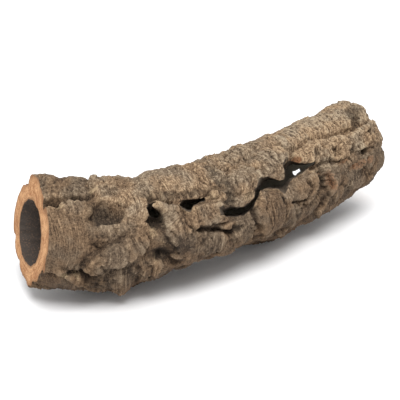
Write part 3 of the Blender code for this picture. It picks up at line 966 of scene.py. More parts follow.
@dataclass(frozen=True)
class Pits:
    """Round pits scattered over the bark: how many there are to a metre, their depth and their width."""

    per_metre: float
    depth: float
    width: float = 0.42

    def sunk(self, places: Places) -> np.ndarray:
        """How far into a pit each place is, from 0 outside all of them to 1 in the middle of one."""
        points = places.on_round_limb() * self.per_metre
        nearest = [noise.voronoi(p)[0][0] for p in points.reshape(-1, 3).tolist()]
        return smooth_step(1 - np.array(nearest).reshape(places.along.shape) / self.width)


@dataclass
class Relief:
    """How far the outer bark and the hollow's wall stand from the limb's line.

    Each sway and each lump is a fineness in waves per metre and a reach in metres. Each cavity is a weight,
    how many steps of the net are averaged, and a depth; the finish paints shade into the hollows these find.
    Each lightening of the top, partly bleaching and partly painted light, is a strength, where it starts
    along the limb, and over what length it grows. The underside is darkened as painted shade.
    """

    crest_stations: tuple[float, ...] = (-0.035, 0.0, 0.070, 0.120, 0.330, 0.400, 0.440)
    crest_radii: tuple[float, ...] = (0.0505, 0.0536, 0.0600, 0.0600, 0.0565, 0.0550, 0.0535)
    valley_depth: float = 0.0130
    lowest: float = -0.004
    hollow_radius: float = 0.0335
    hollow_wave: float = 0.0022
    hollow_fineness: float = 22.0
    least_wall: float = 0.005
    arch_middle: float = 0.178
    arch_half_length: float = 0.085
    arch_flatness: float = 1.25
    arch_angle: float = -66.0
    arch_half_angle: float = 62.0
    arch_rise: float = 0.0150
    hollow_share_of_arch: float = 0.5
    seed: int = 11
    floor_level: float = 0.0078
    floor_swing: float = 0.0040
    floor_fineness: float = 40.0
    sways: tuple[Span, ...] = ((34.0, 0.0035), (90.0, 0.0020), (220.0, 0.0015), (480.0, 0.0011))
    lines_moved: float = 0.002
    pattern_pitch: float = 0.37
    worn_reach: int = 4
    rough: Scatter = Scatter(Cloud.ROUGH, 26.0, 0.35, 1.7)
    lumps: tuple[Span, ...] = ((75.0, 0.0012), (170.0, 0.0008), (360.0, 0.0008), (800.0, 0.0005))
    lumps_usual: float = 0.5
    lumps_rough: float = 0.8
    lumps_worn_off: float = 0.6
    crease_level: float = 0.6
    crease_sharpness: float = 2.4
    groove_reach: int = 2
    most_grooved: float = 1.3
    lines: tuple[GrowthLines, ...] = (GrowthLines(0.0062, 0.0010), GrowthLines(0.0031, 0.0005))
    ledges: Ledges = Ledges()
    pitted: Scatter = Scatter(Cloud.PITTED, 30.0, 0.2, 1.8)
    pitted_most: float = 0.7
    pits_crumbly: float = 0.6
    pits: tuple[Pits, ...] = (Pits(120.0, 0.0022), Pits(230.0, 0.0014))
    torn: Scatter = Scatter(Cloud.RIMS, 60.0, 0.5, 2.2)
    torn_paleness: float = 0.8
    torn_reach: float = 0.0050
    cavities: tuple[tuple[float, int, float], ...] = ((0.45, 2, 0.0006), (0.55, 7, 0.0025))
    cavity_limit: float = 1.5
    # The top is lighter, partly bleaching and partly painted light, and the underside darker, which is
    # painted shade.
    least_bleach_and_painted_light: float = 0.45
    bleach_and_painted_light_rises: tuple[tuple[float, float, float], ...] = ((0.60, 0.04, 0.06), (0.60, 0.24, 0.12))
    side_band: float = 0.05
    painted_shade: float = 0.5
    painted_shade_from_side: float = 0.6

    def lobes(self) -> list[Lobe]:
        """All the swellings, the small ones first."""
        rows = [*FILLER_LOBES.lobes(self.seed + 1), *HIDDEN_LOBES.lobes(self.seed)]
        return [*rows, *NEAR_LOBES, *MIDDLE_LOBES, *FAR_LOBES]

    def arch(self, places: Places) -> np.ndarray:
        """How far the underside is drawn in between the places that it rests on."""
        lengthwise = np.abs(places.along - self.arch_middle) / self.arch_half_length
        sideways = np.abs(round_the_limb(places.around - self.arch_angle)) / self.arch_half_angle
        return self.arch_rise * smooth_step(self.arch_flatness - lengthwise) * smooth_step(1 - sideways)

    def hollow(self, places: Places) -> np.ndarray:
        """Distance of the hollow's wall from the limb's line at each place."""
        wave = self.hollow_wave * places.grain(self.hollow_fineness, Cloud.HOLLOW)
        return self.hollow_radius + wave - self.hollow_share_of_arch * self.arch(places)

    def swayed(self, net: Places, sways: Sequence[Span]) -> Places:
        """Sway a net of places, so that no edge on the bark runs smoothly.

        Args:
            net: The places.
            sways: A fineness and a reach for each sway.

        Returns:
            The places after the sways.
        """
        along, around = net.along.copy(), net.around.copy()
        for fineness, reach in sways:
            along += reach * net.grain(fineness, Cloud.SWAY_ALONG)
            around += reach / DEGREE * net.grain(fineness, Cloud.SWAY_AROUND)
        return Places(along, around)

    def piled(self, net: Places) -> Pile:
        """Pile all the lobes on the low floor between them.

        Args:
            net: The places.

        Returns:
            The pile.
        """
        calm, ragged = self.swayed(net, self.sways[:1]), self.swayed(net, self.sways)
        side = LIMB_RADIUS * np.sin(np.radians(net.around))
        pile = Pile(
            calm,
            ragged,
            height=self.floor_level + self.floor_swing * net.grain(self.floor_fineness, Cloud.FLOOR),
            growth=np.stack([calm.along, side, np.zeros(side.shape)], axis=-1),
            tone=np.zeros(side.shape),
            grooved=np.full(side.shape, Lobe.grooved),
        )
        chance = random.Random(self.seed + 2)
        for number, lobe in enumerate(self.lobes()):
            tone, moved = chance.uniform(-1, 1), chance.uniform(-self.lines_moved, self.lines_moved)
            pile.add(lobe, tone, moved, self.pattern_pitch * number)
        return pile

    def torn_rims(self, places: Places) -> np.ndarray:
        """How strongly fresh pale cork shows beside the openings, from 0 to 1."""
        nearest = np.minimum.reduce([places.distance_to(gap.closed_rim) for gap in GAPS])
        return self.torn_paleness * (1 - smooth_step(nearest / self.torn_reach)) * self.torn.share(places)

    def lightness(self, places: Places) -> np.ndarray:
        """How much lighter the bark is on top, most at the far end, partly bleaching and partly painted
        light, and below 0 on the underside, where shade is painted.
        """
        up = np.sin(np.radians(places.around))
        bleached = np.full(up.shape, self.least_bleach_and_painted_light)
        for strength, start, span in self.bleach_and_painted_light_rises:
            bleached += strength * smooth_step((places.along - start) / span)
        top = smooth_step((up - self.side_band) / (1 - self.side_band)) * bleached
        return top - self.painted_shade * smooth_step((-up - self.side_band) / self.painted_shade_from_side)

    def cavity(self, radius: np.ndarray) -> np.ndarray:
        """How far the bark lies below its surroundings, and below 0 where it stands out; the finish paints
        shade in the hollows and light on what stands out with it.
        """
        parts = [weight * (blurred(radius, reach) - radius) / depth for weight, reach, depth in self.cavities]
        return np.clip(sum(parts), -self.cavity_limit, self.cavity_limit)

    def survey(self, net: Places) -> Survey:
        """Work out the outer bark at each place of a net.

        Args:
            net: The places, with one row for each station, whose last column closes on the first.

        Returns:
            The bark's radius and what its finish follows.
        """
        pile = self.piled(net)
        height, calm, ragged = pile.height, pile.calm, pile.ragged
        for dent in DENTS:
            height -= dent.sunk(ragged)
        plain = covered(PLAIN_PATCHES, net)
        height += plain * (blurred(height, self.worn_reach) - height)
        for scarp in SCARPS:
            height += scarp.lift(ragged)
        for furrow in (*FURROWS, *FINE_CRACKS):
            height -= furrow.sunk(ragged)
        crumbly = covered(CRUMBLY_PATCHES, net)
        rough = np.clip(self.rough.share(net) * (1 - plain) + crumbly, 0.0, 1.0)
        for number, (fineness, reach) in enumerate(self.lumps):
            swell = net.grain(fineness, Cloud.LUMPS, number)
            if number % 2 == 1:
                swell = self.crease_level - self.crease_sharpness * np.abs(swell)
            reach_here = reach * (self.lumps_usual + self.lumps_rough * rough)
            height += reach_here * (1 - self.lumps_worn_off * plain) * swell
        grooved = blurred(pile.grooved, self.groove_reach) * (self.most_grooved - rough)
        for lines in self.lines:
            height += lines.depth * grooved * lines.profile(pile.growth)
        sway = ragged.along - calm.along, (ragged.around - calm.around) * DEGREE, np.zeros(height.shape)
        height -= self.ledges.depth * rough * self.ledges.step(pile.growth, np.stack(sway, axis=-1))
        pitted = self.pitted.share(net) * (self.pitted_most - self.pitted_most * plain)
        pitted = np.clip(pitted + crumbly, 0.0, 1.0)
        for pits in self.pits:
            height -= pits.depth * (pitted + self.pits_crumbly * crumbly) * pits.sunk(ragged)
        crest = np.interp(net.along, self.crest_stations, self.crest_radii)
        radius = crest - self.valley_depth - self.arch(net) + np.maximum(height, self.lowest)
        radius = np.maximum(radius, self.hollow(net) + self.least_wall)
        return Survey(
            net,
            radius,
            growth=pile.growth,
            tone=pile.tone,
            cavity=self.cavity(radius),
            rust=covered(RUST_PATCHES, ragged),
            pale=np.maximum(covered(PALE_PATCHES, ragged), self.torn_rims(net)),
            dark=covered(PAINTED_SHADE_PATCHES, ragged),
            upper=self.lightness(net),
            grooved=grooved,
        )


class Part(Enum):
    """The surfaces of the limb, in the order of its materials."""

    BARK = 0
    LINING = 1
    SAWN = 2
    TORN = 3


@dataclass
class Cutters:
    """What is cut out of the limb: the gaps, the waste beyond the saw cuts and the worn underside.

    A gap's rim is given at rim_radius from the limb's line. Each of its ragged courses is a fineness in waves
    per metre and a reach in metres, ragged_along and ragged_around are where the noise for its two directions
    is read, and its drift is how far its walls wander sideways.
    """

    line: LimbLine
    gap_step: float = 0.0011
    gap_levels: tuple[float, ...] = (0.0255, 0.034, 0.040, 0.045, 0.050, 0.055, 0.059, 0.072)
    ragged: tuple[Span, ...] = ((180.0, 0.0009), (420.0, 0.0006))
    ragged_depthwise: float = 0.2
    ragged_along: float = 2.0
    ragged_around: float = 9.0
    drift: float = 0.0010
    drift_fineness: float = 150.0
    rim_radius: float = 0.057
    waste_size: float = 0.6
    waste_depth: float = 0.2

    def rim_points(self, gap: Gap) -> Places:
        """Set points closely along a gap's rim.

        Args:
            gap: The gap.

        Returns:
            The places of the points.
        """
        along, around = np.array(gap.closed_rim, float).T
        lengths = np.hypot(np.diff(along), np.diff(around) * DEGREE)
        travelled = np.concatenate([[0.0], np.cumsum(lengths)])
        count = int(travelled[-1] / self.gap_step)
        stops = np.arange(count) * travelled[-1] / count
        return Places(np.interp(stops, travelled, along), np.interp(stops, travelled, around))

    def rim_at(self, points: Places, radius: float, gap: Gap) -> np.ndarray:
        """Place a ragged rim at one depth of the wall.

        Args:
            points: The rim's points.
            radius: Distance from the limb's line.
            gap: The gap that the rim belongs to.

        Returns:
            World points.
        """
        everywhere = np.full(len(points.along), radius)
        stations, *slants = np.array(gap.slants).T
        lean_along, lean_around = [np.interp(points.along, stations, slant) for slant in slants]
        along = points.along + (self.rim_radius - radius) * lean_along
        around = points.around + (self.rim_radius - radius) * lean_around
        deep = np.stack([points.along, points.around * DEGREE, everywhere], axis=-1)
        shallow = deep * (1.0, 1.0, self.ragged_depthwise)
        for fineness, reach in self.ragged:
            along += reach * noise_at(shallow * fineness + self.ragged_along)
            around += reach / DEGREE * noise_at(shallow * fineness + self.ragged_around)
        around += self.drift / DEGREE * noise_at(deep * self.drift_fineness)
        return self.line.place(Places(along, around), everywhere)

    def add_plug(self, cutters: bmesh.types.BMesh, gap: Gap) -> None:
        """Add the plug that opens one gap, from the hollow to outside the bark.

        Args:
            cutters: The mesh that it is added to.
            gap: The gap.
        """
        points = self.rim_points(gap)
        made = bmesh.ops.create_circle(cutters, cap_ends=True, segments=len(points.along), radius=1.0)
        ring = sorted(made["verts"], key=lambda v: math.atan2(v.co.y, v.co.x) % math.tau)
        for vertex, spot in zip(ring, self.rim_at(points, self.gap_levels[0], gap)):
            vertex.co = spot
        face = ring[0].link_faces[0]
        for radius in self.gap_levels[1:]:
            order = {tuple(v.co): number for number, v in enumerate(ring)}
            grown = bmesh.ops.extrude_face_region(cutters, geom=[face])
            if radius != self.gap_levels[1]:
                bmesh.ops.delete(cutters, geom=[face], context="FACES_ONLY")
            face = next(item for item in grown["geom"] if isinstance(item, bmesh.types.BMFace))
            ring = sorted(face.verts, key=lambda v: order[tuple(v.co)])
            for vertex, spot in zip(ring, self.rim_at(points, radius, gap)):
                vertex.co = spot
        for item in cutters.faces:
            item.material_index = Part.TORN.value

    def add_block(self, cutters: bmesh.types.BMesh, middle: Vector, normal: Vector, part: Part) -> None:
        """Add a large block whose one face passes through a point.

        Args:
            cutters: The mesh that it is added to.
            middle: A point on that face.
            normal: The way from that face into the block.
            part: The surface that the cut leaves.
        """
        cube = bmesh.ops.create_cube(cutters, size=1.0)["verts"]
        bmesh.ops.scale(cutters, vec=(self.waste_size, self.waste_size, self.waste_depth), verts=cube)
        bmesh.ops.translate(cutters, vec=(0, 0, self.waste_depth / 2), verts=cube)
        bmesh.ops.rotate(cutters, matrix=normal.to_track_quat("Z", "Y").to_matrix(), verts=cube)
        bmesh.ops.translate(cutters, vec=middle, verts=cube)
        for side in {f for v in cube for f in v.link_faces}:
            side.material_index = part.value

    def gap_plugs(self) -> bmesh.types.BMesh:
        """The plugs of all the gaps in one mesh."""
        cutters = bmesh.new()
        for gap in GAPS:
            self.add_plug(cutters, gap)
            LOG.info("%s: cut through the wall", gap.name)
        bmesh.ops.triangulate(cutters, faces=cutters.faces[:])
        bmesh.ops.recalc_face_normals(cutters, faces=cutters.faces[:])
        return cutters

    def waste(self, cut: SawCut) -> bmesh.types.BMesh:
        """The waste beyond one saw cut."""
        cutters = bmesh.new()
        self.add_block(cutters, *cut.plane(self.line), Part.SAWN)
        return cutters

    def worn(self) -> bmesh.types.BMesh:
        """What lies below the level that the limb rests on."""
        cutters = bmesh.new()
        self.add_block(cutters, Vector((0, 0, 0)), Vector((0, 0, -1)), Part.BARK)
        return cutters


@dataclass
class BarkSkin:
    """The whole limb as one closed skin: bark outside, lining inside, and the cuts and gaps between them.

    Its net has rows along the limb and columns around it. The columns are closest together from fine_from to
    fine_to, where the limb is seen from the front and above. Elsewhere a degree has coarse_share as many,
    and fine_fade is how many degrees the change takes.
    """

    line: LimbLine
    relief: Relief
    cutters: Cutters
    near_cut: SawCut = SawCut(-0.0020, 0.29, 0.20, -1)
    far_cut: SawCut = SawCut(0.4365, -0.03, 0.02, 1)
    rows: int = 350
    end_rows: int = 3
    lining_rows: int = 40
    columns: int = 252
    fine_from: float = -88.0
    fine_to: float = 128.0
    fine_fade: float = 16.0
    coarse_share: float = 0.5
    angle_step: float = 0.25
    merged_within: float = 1e-6
    overhang_reach: float = 0.0016
    lining_lumps: tuple[Span, ...] = ((60.0, 0.0018), (140.0, 0.0014), (300.0, 0.0007))
    followed: tuple[str, ...] = ("tone", "cavity", "rust", "pale", "dark", "upper", "grooved")

    def column_angles(self) -> np.ndarray:
        """Angles of the net's columns in degrees."""
        degrees = np.linspace(-180.0, 180.0, round(360 / self.angle_step) + 1)
        edge = np.minimum(degrees - self.fine_from, self.fine_to - degrees)
        density = self.coarse_share + (1 - self.coarse_share) * smooth_step(0.5 + edge / self.fine_fade)
        travelled = np.concatenate([[0.0], np.cumsum((density[1:] + density[:-1]) / 2)])
        return np.interp(np.linspace(0, travelled[-1], self.columns + 1), travelled, degrees)

    def skin(self) -> tuple[bmesh.types.BMesh, dict[str, np.ndarray]]:
        """Make the closed skin, a little longer than it is sawn.

        The net runs along the bark from the near end to the far end, in through the far end, back along the
        lining, and out through the near end to where it began.

        Returns:
            The mesh, and for each of its vertices what the finish follows.
        """
        near, far = -self.line.near_overrun, self.line.length + self.line.far_overrun
        angles = self.column_angles()
        stations = np.linspace(near, far, self.rows + 1)
        bark = self.relief.survey(Places(*np.meshgrid(stations, angles, indexing="ij")))
        pushed = bark.overhang(self.overhang_reach)
        profile = self.rows + 2 * self.end_rows + self.lining_rows
        skin = bmesh.new()
        bmesh.ops.create_grid(skin, x_segments=self.columns, y_segments=profile, size=0.5)
        net = np.array([v.co for v in skin.verts])
        column = np.rint((net[:, 0] + 0.5) * self.columns).astype(int)
        step = np.rint((net[:, 1] + 0.5) * profile).astype(int)
        back = np.clip((step - self.rows - self.end_rows) / self.lining_rows, 0.0, 1.0)
        inward = np.clip((step - self.rows) / self.end_rows, 0.0, 1.0)
        outward = np.clip((step - profile + self.end_rows) / self.end_rows, 0.0, 1.0)
        inside = inward - outward
        row = np.where(step <= self.rows, step, np.where(step >= profile - self.end_rows, 0, self.rows))
        outer = step <= self.rows
        places = Places(
            np.where(outer, pushed.along[row, column], far - (far - near) * back),
            np.where(outer, pushed.around[row, column], angles[column]),
        )
        hollow = self.relief.hollow(places)
        for fineness, reach in self.lining_lumps:
            hollow += np.where(outer, 0.0, reach * places.grain(fineness, Cloud.LINING))
        radius = bark.radius[row, column] * (1 - inside) + hollow * inside
        for vertex, spot in zip(skin.verts, self.line.place(places, radius).tolist()):
            vertex.co = spot
        level = skin.verts.layers.float.new("inside")
        for vertex, value in zip(skin.verts, inside.tolist()):
            vertex[level] = value
        for face in skin.faces:
            lining = all(v[level] > 0.5 for v in face.verts)
            face.material_index = (Part.LINING if lining else Part.BARK).value
            face.smooth = True
        follows = {"growth": np.where(outer[:, None], bark.growth[row, column], 0.0), "inside": inside}
        for name in self.followed:
            follows[name] = np.where(outer, getattr(bark, name)[row, column], 0.0)
        follows["place"] = np.array([v.co for v in skin.verts])
        bmesh.ops.remove_doubles(skin, verts=skin.verts[:], dist=self.merged_within)
        bmesh.ops.recalc_face_normals(skin, faces=skin.faces[:])
        return skin, follows

    def cut(
        self,
        skin: bmesh.types.BMesh,
        steps: Sequence[bmesh.types.BMesh],
        finishes: Sequence[bpy.types.Material],
    ) -> bmesh.types.BMesh:
        """Cut the gaps, the waste and the worn underside away.

        Args:
            skin: The closed skin, which is freed.
            steps: The closed meshes to cut away, which are freed.
            finishes: One material for each Part, so that each cut face keeps its own.

        Returns:
            What is left.
        """
        body = new_object("limb_before_cuts", skin)
        helpers = [body]
        for number, cutter_mesh in enumerate(steps):
            cutter = new_object(f"cutter_{number}", cutter_mesh)
            helpers.append(cutter)
            step = body.modifiers.new(cutter.name, "BOOLEAN")
            step.operation = "DIFFERENCE"
            step.solver = "MANIFOLD"
            step.object = cutter
        for helper, finish in product(helpers, finishes):
            helper.data.materials.append(finish)
        kept = body.evaluated_get(bpy.context.evaluated_depsgraph_get()).to_mesh()
        left = bmesh.new()
        left.from_mesh(kept)
        body.evaluated_get(bpy.context.evaluated_depsgraph_get()).to_mesh_clear()
        for helper in helpers:
            mesh = helper.data
            bpy.data.objects.remove(helper)
            bpy.data.meshes.remove(mesh)
        return left

    def held_within(self, mesh: bpy.types.Mesh, box: Box) -> None:
        """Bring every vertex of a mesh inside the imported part's box.

        Args:
            mesh: The mesh.
            box: The box's lowest and highest corners.
        """
        places = np.empty(len(mesh.vertices) * 3, np.float32)
        mesh.vertices.foreach_get("co", places)
        inside = np.clip(places.reshape(-1, 3), np.array(box[0]), np.array(box[1]))
        mesh.vertices.foreach_set("co", inside.astype(np.float32).ravel())

    def follow(self, mesh: bpy.types.Mesh, follows: dict[str, np.ndarray]) -> None:
        """Store on each vertex what the finishes read.

        Args:
            mesh: The finished mesh.
            follows: Values for each vertex that the skin had before it was cut, and its place.
        """
        tree = kdtree.KDTree(len(follows["place"]))
        for number, spot in enumerate(follows["place"].tolist()):
            tree.insert(spot, number)
        tree.balance()
        nearest = np.array([tree.find(v.co)[1] for v in mesh.vertices])
        for name, values in follows.items():
            if name == "place":
                continue
            kind, socket = ("FLOAT_VECTOR", "vector") if values.ndim == 2 else ("FLOAT", "value")
            stored = mesh.attributes.get(name) or mesh.attributes.new(name, kind, "POINT")
            stored.data.foreach_set(socket, values[nearest].astype(np.float32).ravel())

    def build(self, finishes: Sequence[bpy.types.Material], box: Box) -> bpy.types.Object:
        """Build the dressed limb.

        Args:
            finishes: One material for each Part, in their order.
            box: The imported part's lowest and highest corners.

        Returns:
            The finished object.
        """
        skin, follows = self.skin()
        LOG.info("skin: %d faces before the cuts", len(skin.faces))
        saw_cuts = [self.cutters.waste(cut) for cut in (self.near_cut, self.far_cut)]
        left = self.cut(skin, [self.cutters.gap_plugs(), *saw_cuts, self.cutters.worn()], finishes)
        bmesh.ops.triangulate(left, faces=[f for f in left.faces if len(f.verts) > 4])
        for edge in left.edges:
            edge.smooth = len({f.material_index for f in edge.link_faces}) == 1
        for face in left.faces:
            face.smooth = True
        limb = new_object("cork_bark_skin", left)
        self.held_within(limb.data, box)
        self.follow(limb.data, follows)
        for finish in finishes:
            limb.data.materials.append(finish)
        limb.data.update()
        triangles = sum(len(p.vertices) - 2 for p in limb.data.polygons)
        LOG.info("cork_bark_skin: %d triangles", triangles)
        return limb


def new_object(name: str, source: bmesh.types.BMesh) -> bpy.types.Object:
    """Turn a bmesh into an object in the scene, and free it.

    Args:
        name: The object's name.
        source: Its shape.

    Returns:
        The object, at the origin.
    """
    mesh = bpy.data.meshes.new(name)
    source.to_mesh(mesh)
    source.free()
    made = bpy.data.objects.new(name, mesh)
    bpy.context.scene.collection.objects.link(made)
    return made


class Wire:
    """A number in a material that varies over the surface, and that sums can be done with."""

    def __init__(self, graph: "Graph", socket: bpy.types.NodeSocket) -> None:
        """Hold one output socket of the graph."""
        self.graph = graph
        self.socket = socket

    def __add__(self, other: "Wire | float") -> "Wire":
        """Add."""
        return self.graph.maths("ADD", self, other)

    def __radd__(self, other: float) -> "Wire":
        """Add to a number."""
        return self.graph.maths("ADD", other, self)

    def __sub__(self, other: "Wire | float") -> "Wire":
        """Take away."""
        return self.graph.maths("SUBTRACT", self, other)

    def __rsub__(self, other: float) -> "Wire":
        """Take away from a number."""
        return self.graph.maths("SUBTRACT", other, self)

    def __mul__(self, other: "Wire | float") -> "Wire":
        """Multiply."""
        return self.graph.maths("MULTIPLY", self, other)

    def __rmul__(self, other: float) -> "Wire":
        """Multiply a number."""
        return self.graph.maths("MULTIPLY", other, self)

    def __pow__(self, power: float) -> "Wire":
        """Raise to a power."""
        return self.graph.maths("POWER", self, power)

    def larger(self, other: "Wire | float") -> "Wire":
        """The larger of two."""
        return self.graph.maths("MAXIMUM", self, other)

    def sine(self) -> "Wire":
        """The sine of an angle in radians."""
        return self.graph.maths("SINE", self, 0.0)

    def held(self) -> "Wire":
        """The value held between 0 and 1."""
        return self.graph.node("ShaderNodeClamp", inputs={"Value": self})

    def rising(self, low: float, high: float) -> "Wire":
        """Ease from 0 at low to 1 at high."""
        inputs = {"Value": self, "From Min": low, "From Max": high}
        return self.graph.node("ShaderNodeMapRange", {"interpolation_type": "SMOOTHSTEP"}, inputs)


Colour = tuple[float, float, float]
Value = Any


@dataclass(frozen=True)
class Mottle:
    """A noise in a finish: its waves per metre, its octaves, and how strong each finer octave is."""

    per_metre: float
    octaves: float = 2.0
    fine_share: float = 0.5


class Graph:
    """The node graph of one material."""

    def __init__(self, name: str) -> None:
        """Start a material that has only its surface shader."""
        self.material = bpy.data.materials.new(name)
        self.material.use_nodes = True
        self.tree = self.material.node_tree
        self.surface = self.tree.nodes["Principled BSDF"]

    def put(self, socket: bpy.types.NodeSocket, value: Value) -> None:
        """Give a socket a link, a number or a colour.

        Args:
            socket: The socket.
            value: A Wire, a number, a vector or a colour.
        """
        if isinstance(value, Wire):
            self.tree.links.new(value.socket, socket)
        elif isinstance(value, tuple) and len(value) == 3 and socket.type == "RGBA":
            socket.default_value = (*value, 1.0)
        else:
            socket.default_value = value

    def node(
        self,
        kind: str,
        settings: dict[str, Any] | None = None,
        inputs: dict[str | int, Value] | None = None,
        output: str | int = 0,
    ) -> Wire:
        """Add a node.

        Args:
            kind: The node's type.
            settings: Its settings, set first; "stops" holds a ramp's (position, colour) pairs.
            inputs: Values or links for its sockets.
            output: The output that is wanted.

        Returns:
            That output.
        """
        made = self.tree.nodes.new(kind)
        for name, value in (settings or {}).items():
            if name == "stops":
                self.set_stops(made.color_ramp, value)
            else:
                setattr(made, name, value)
        for name, value in (inputs or {}).items():
            self.put(made.inputs[name], value)
        return Wire(self, made.outputs[output])

    def set_stops(self, ramp: bpy.types.ColorRamp, stops: Sequence[tuple[float, Colour]]) -> None:
        """Give a ramp its stops.

        Args:
            ramp: The ramp.
            stops: Positions and colours.
        """
        while len(ramp.elements) < len(stops):
            ramp.elements.new(0.5)
        for element, (position, colour) in zip(ramp.elements, stops):
            element.position = position
            element.color = (*colour, 1.0)

    def maths(self, operation: str, first: Value, second: Value) -> Wire:
        """A sum on one or two values."""
        return self.node("ShaderNodeMath", {"operation": operation}, {0: first, 1: second})

    def mix(self, share: Value, first: Value, second: Value, blend: str = "MIX") -> Wire:
        """Mix two colours by how much of the second shows."""
        settings = {"data_type": "RGBA", "blend_type": blend}
        return self.node("ShaderNodeMix", settings, {0: share, 6: first, 7: second}, 2)

    def noise(self, spot: Wire, mottle: Mottle) -> Wire:
        """Cloudy noise from 0 to 1, read at a place."""
        settings = {"Scale": mottle.per_metre, "Detail": mottle.octaves, "Roughness": mottle.fine_share}
        return self.node("ShaderNodeTexNoise", inputs={"Vector": spot, **settings})

    def cells(self, spot: Wire, per_metre: float) -> Wire:
        """Distance from the nearest of many scattered points."""
        return self.node("ShaderNodeTexVoronoi", inputs={"Vector": spot, "Scale": per_metre})

    def place(self) -> Wire:
        """The place on the object in metres."""
        return self.node("ShaderNodeTexCoord", output="Object")

    def stored(self, name: str, output: str = "Fac") -> Wire:
        """A value stored on the mesh."""
        return self.node("ShaderNodeAttribute", {"attribute_name": name}, output=output)

    def lengthwise(self, spot: Wire) -> Wire:
        """The first coordinate of a place."""
        return self.node("ShaderNodeSeparateXYZ", inputs={0: spot})

    def drawn_out(self, spot: Wire, share: float) -> Wire:
        """Squeeze a place along its second axis, so that noise read there is drawn out into lines."""
        return self.node("ShaderNodeVectorMath", {"operation": "MULTIPLY"}, {0: spot, 1: (1.0, share, 1.0)})

    def finish(
        self, colour: Value, roughness: float, height: Wire, depth: float, sheen: float = 0.25
    ) -> bpy.types.Material:
        """Join the graph's ends to the surface.

        Args:
            colour: The colour.
            roughness: The roughness.
            height: Relief from 0 to 1.
            depth: What a relief of 1 measures in metres.
            sheen: How strongly it shines, which is little on dry cork.

        Returns:
            The material.
        """
        bump = self.node("ShaderNodeBump", inputs={"Strength": 1.0, "Distance": depth, "Height": height})
        self.put(self.surface.inputs["Base Color"], colour)
        self.put(self.surface.inputs["Roughness"], roughness)
        self.put(self.surface.inputs["Normal"], bump)
        self.put(self.surface.inputs["Specular IOR Level"], sheen)
        return self.material


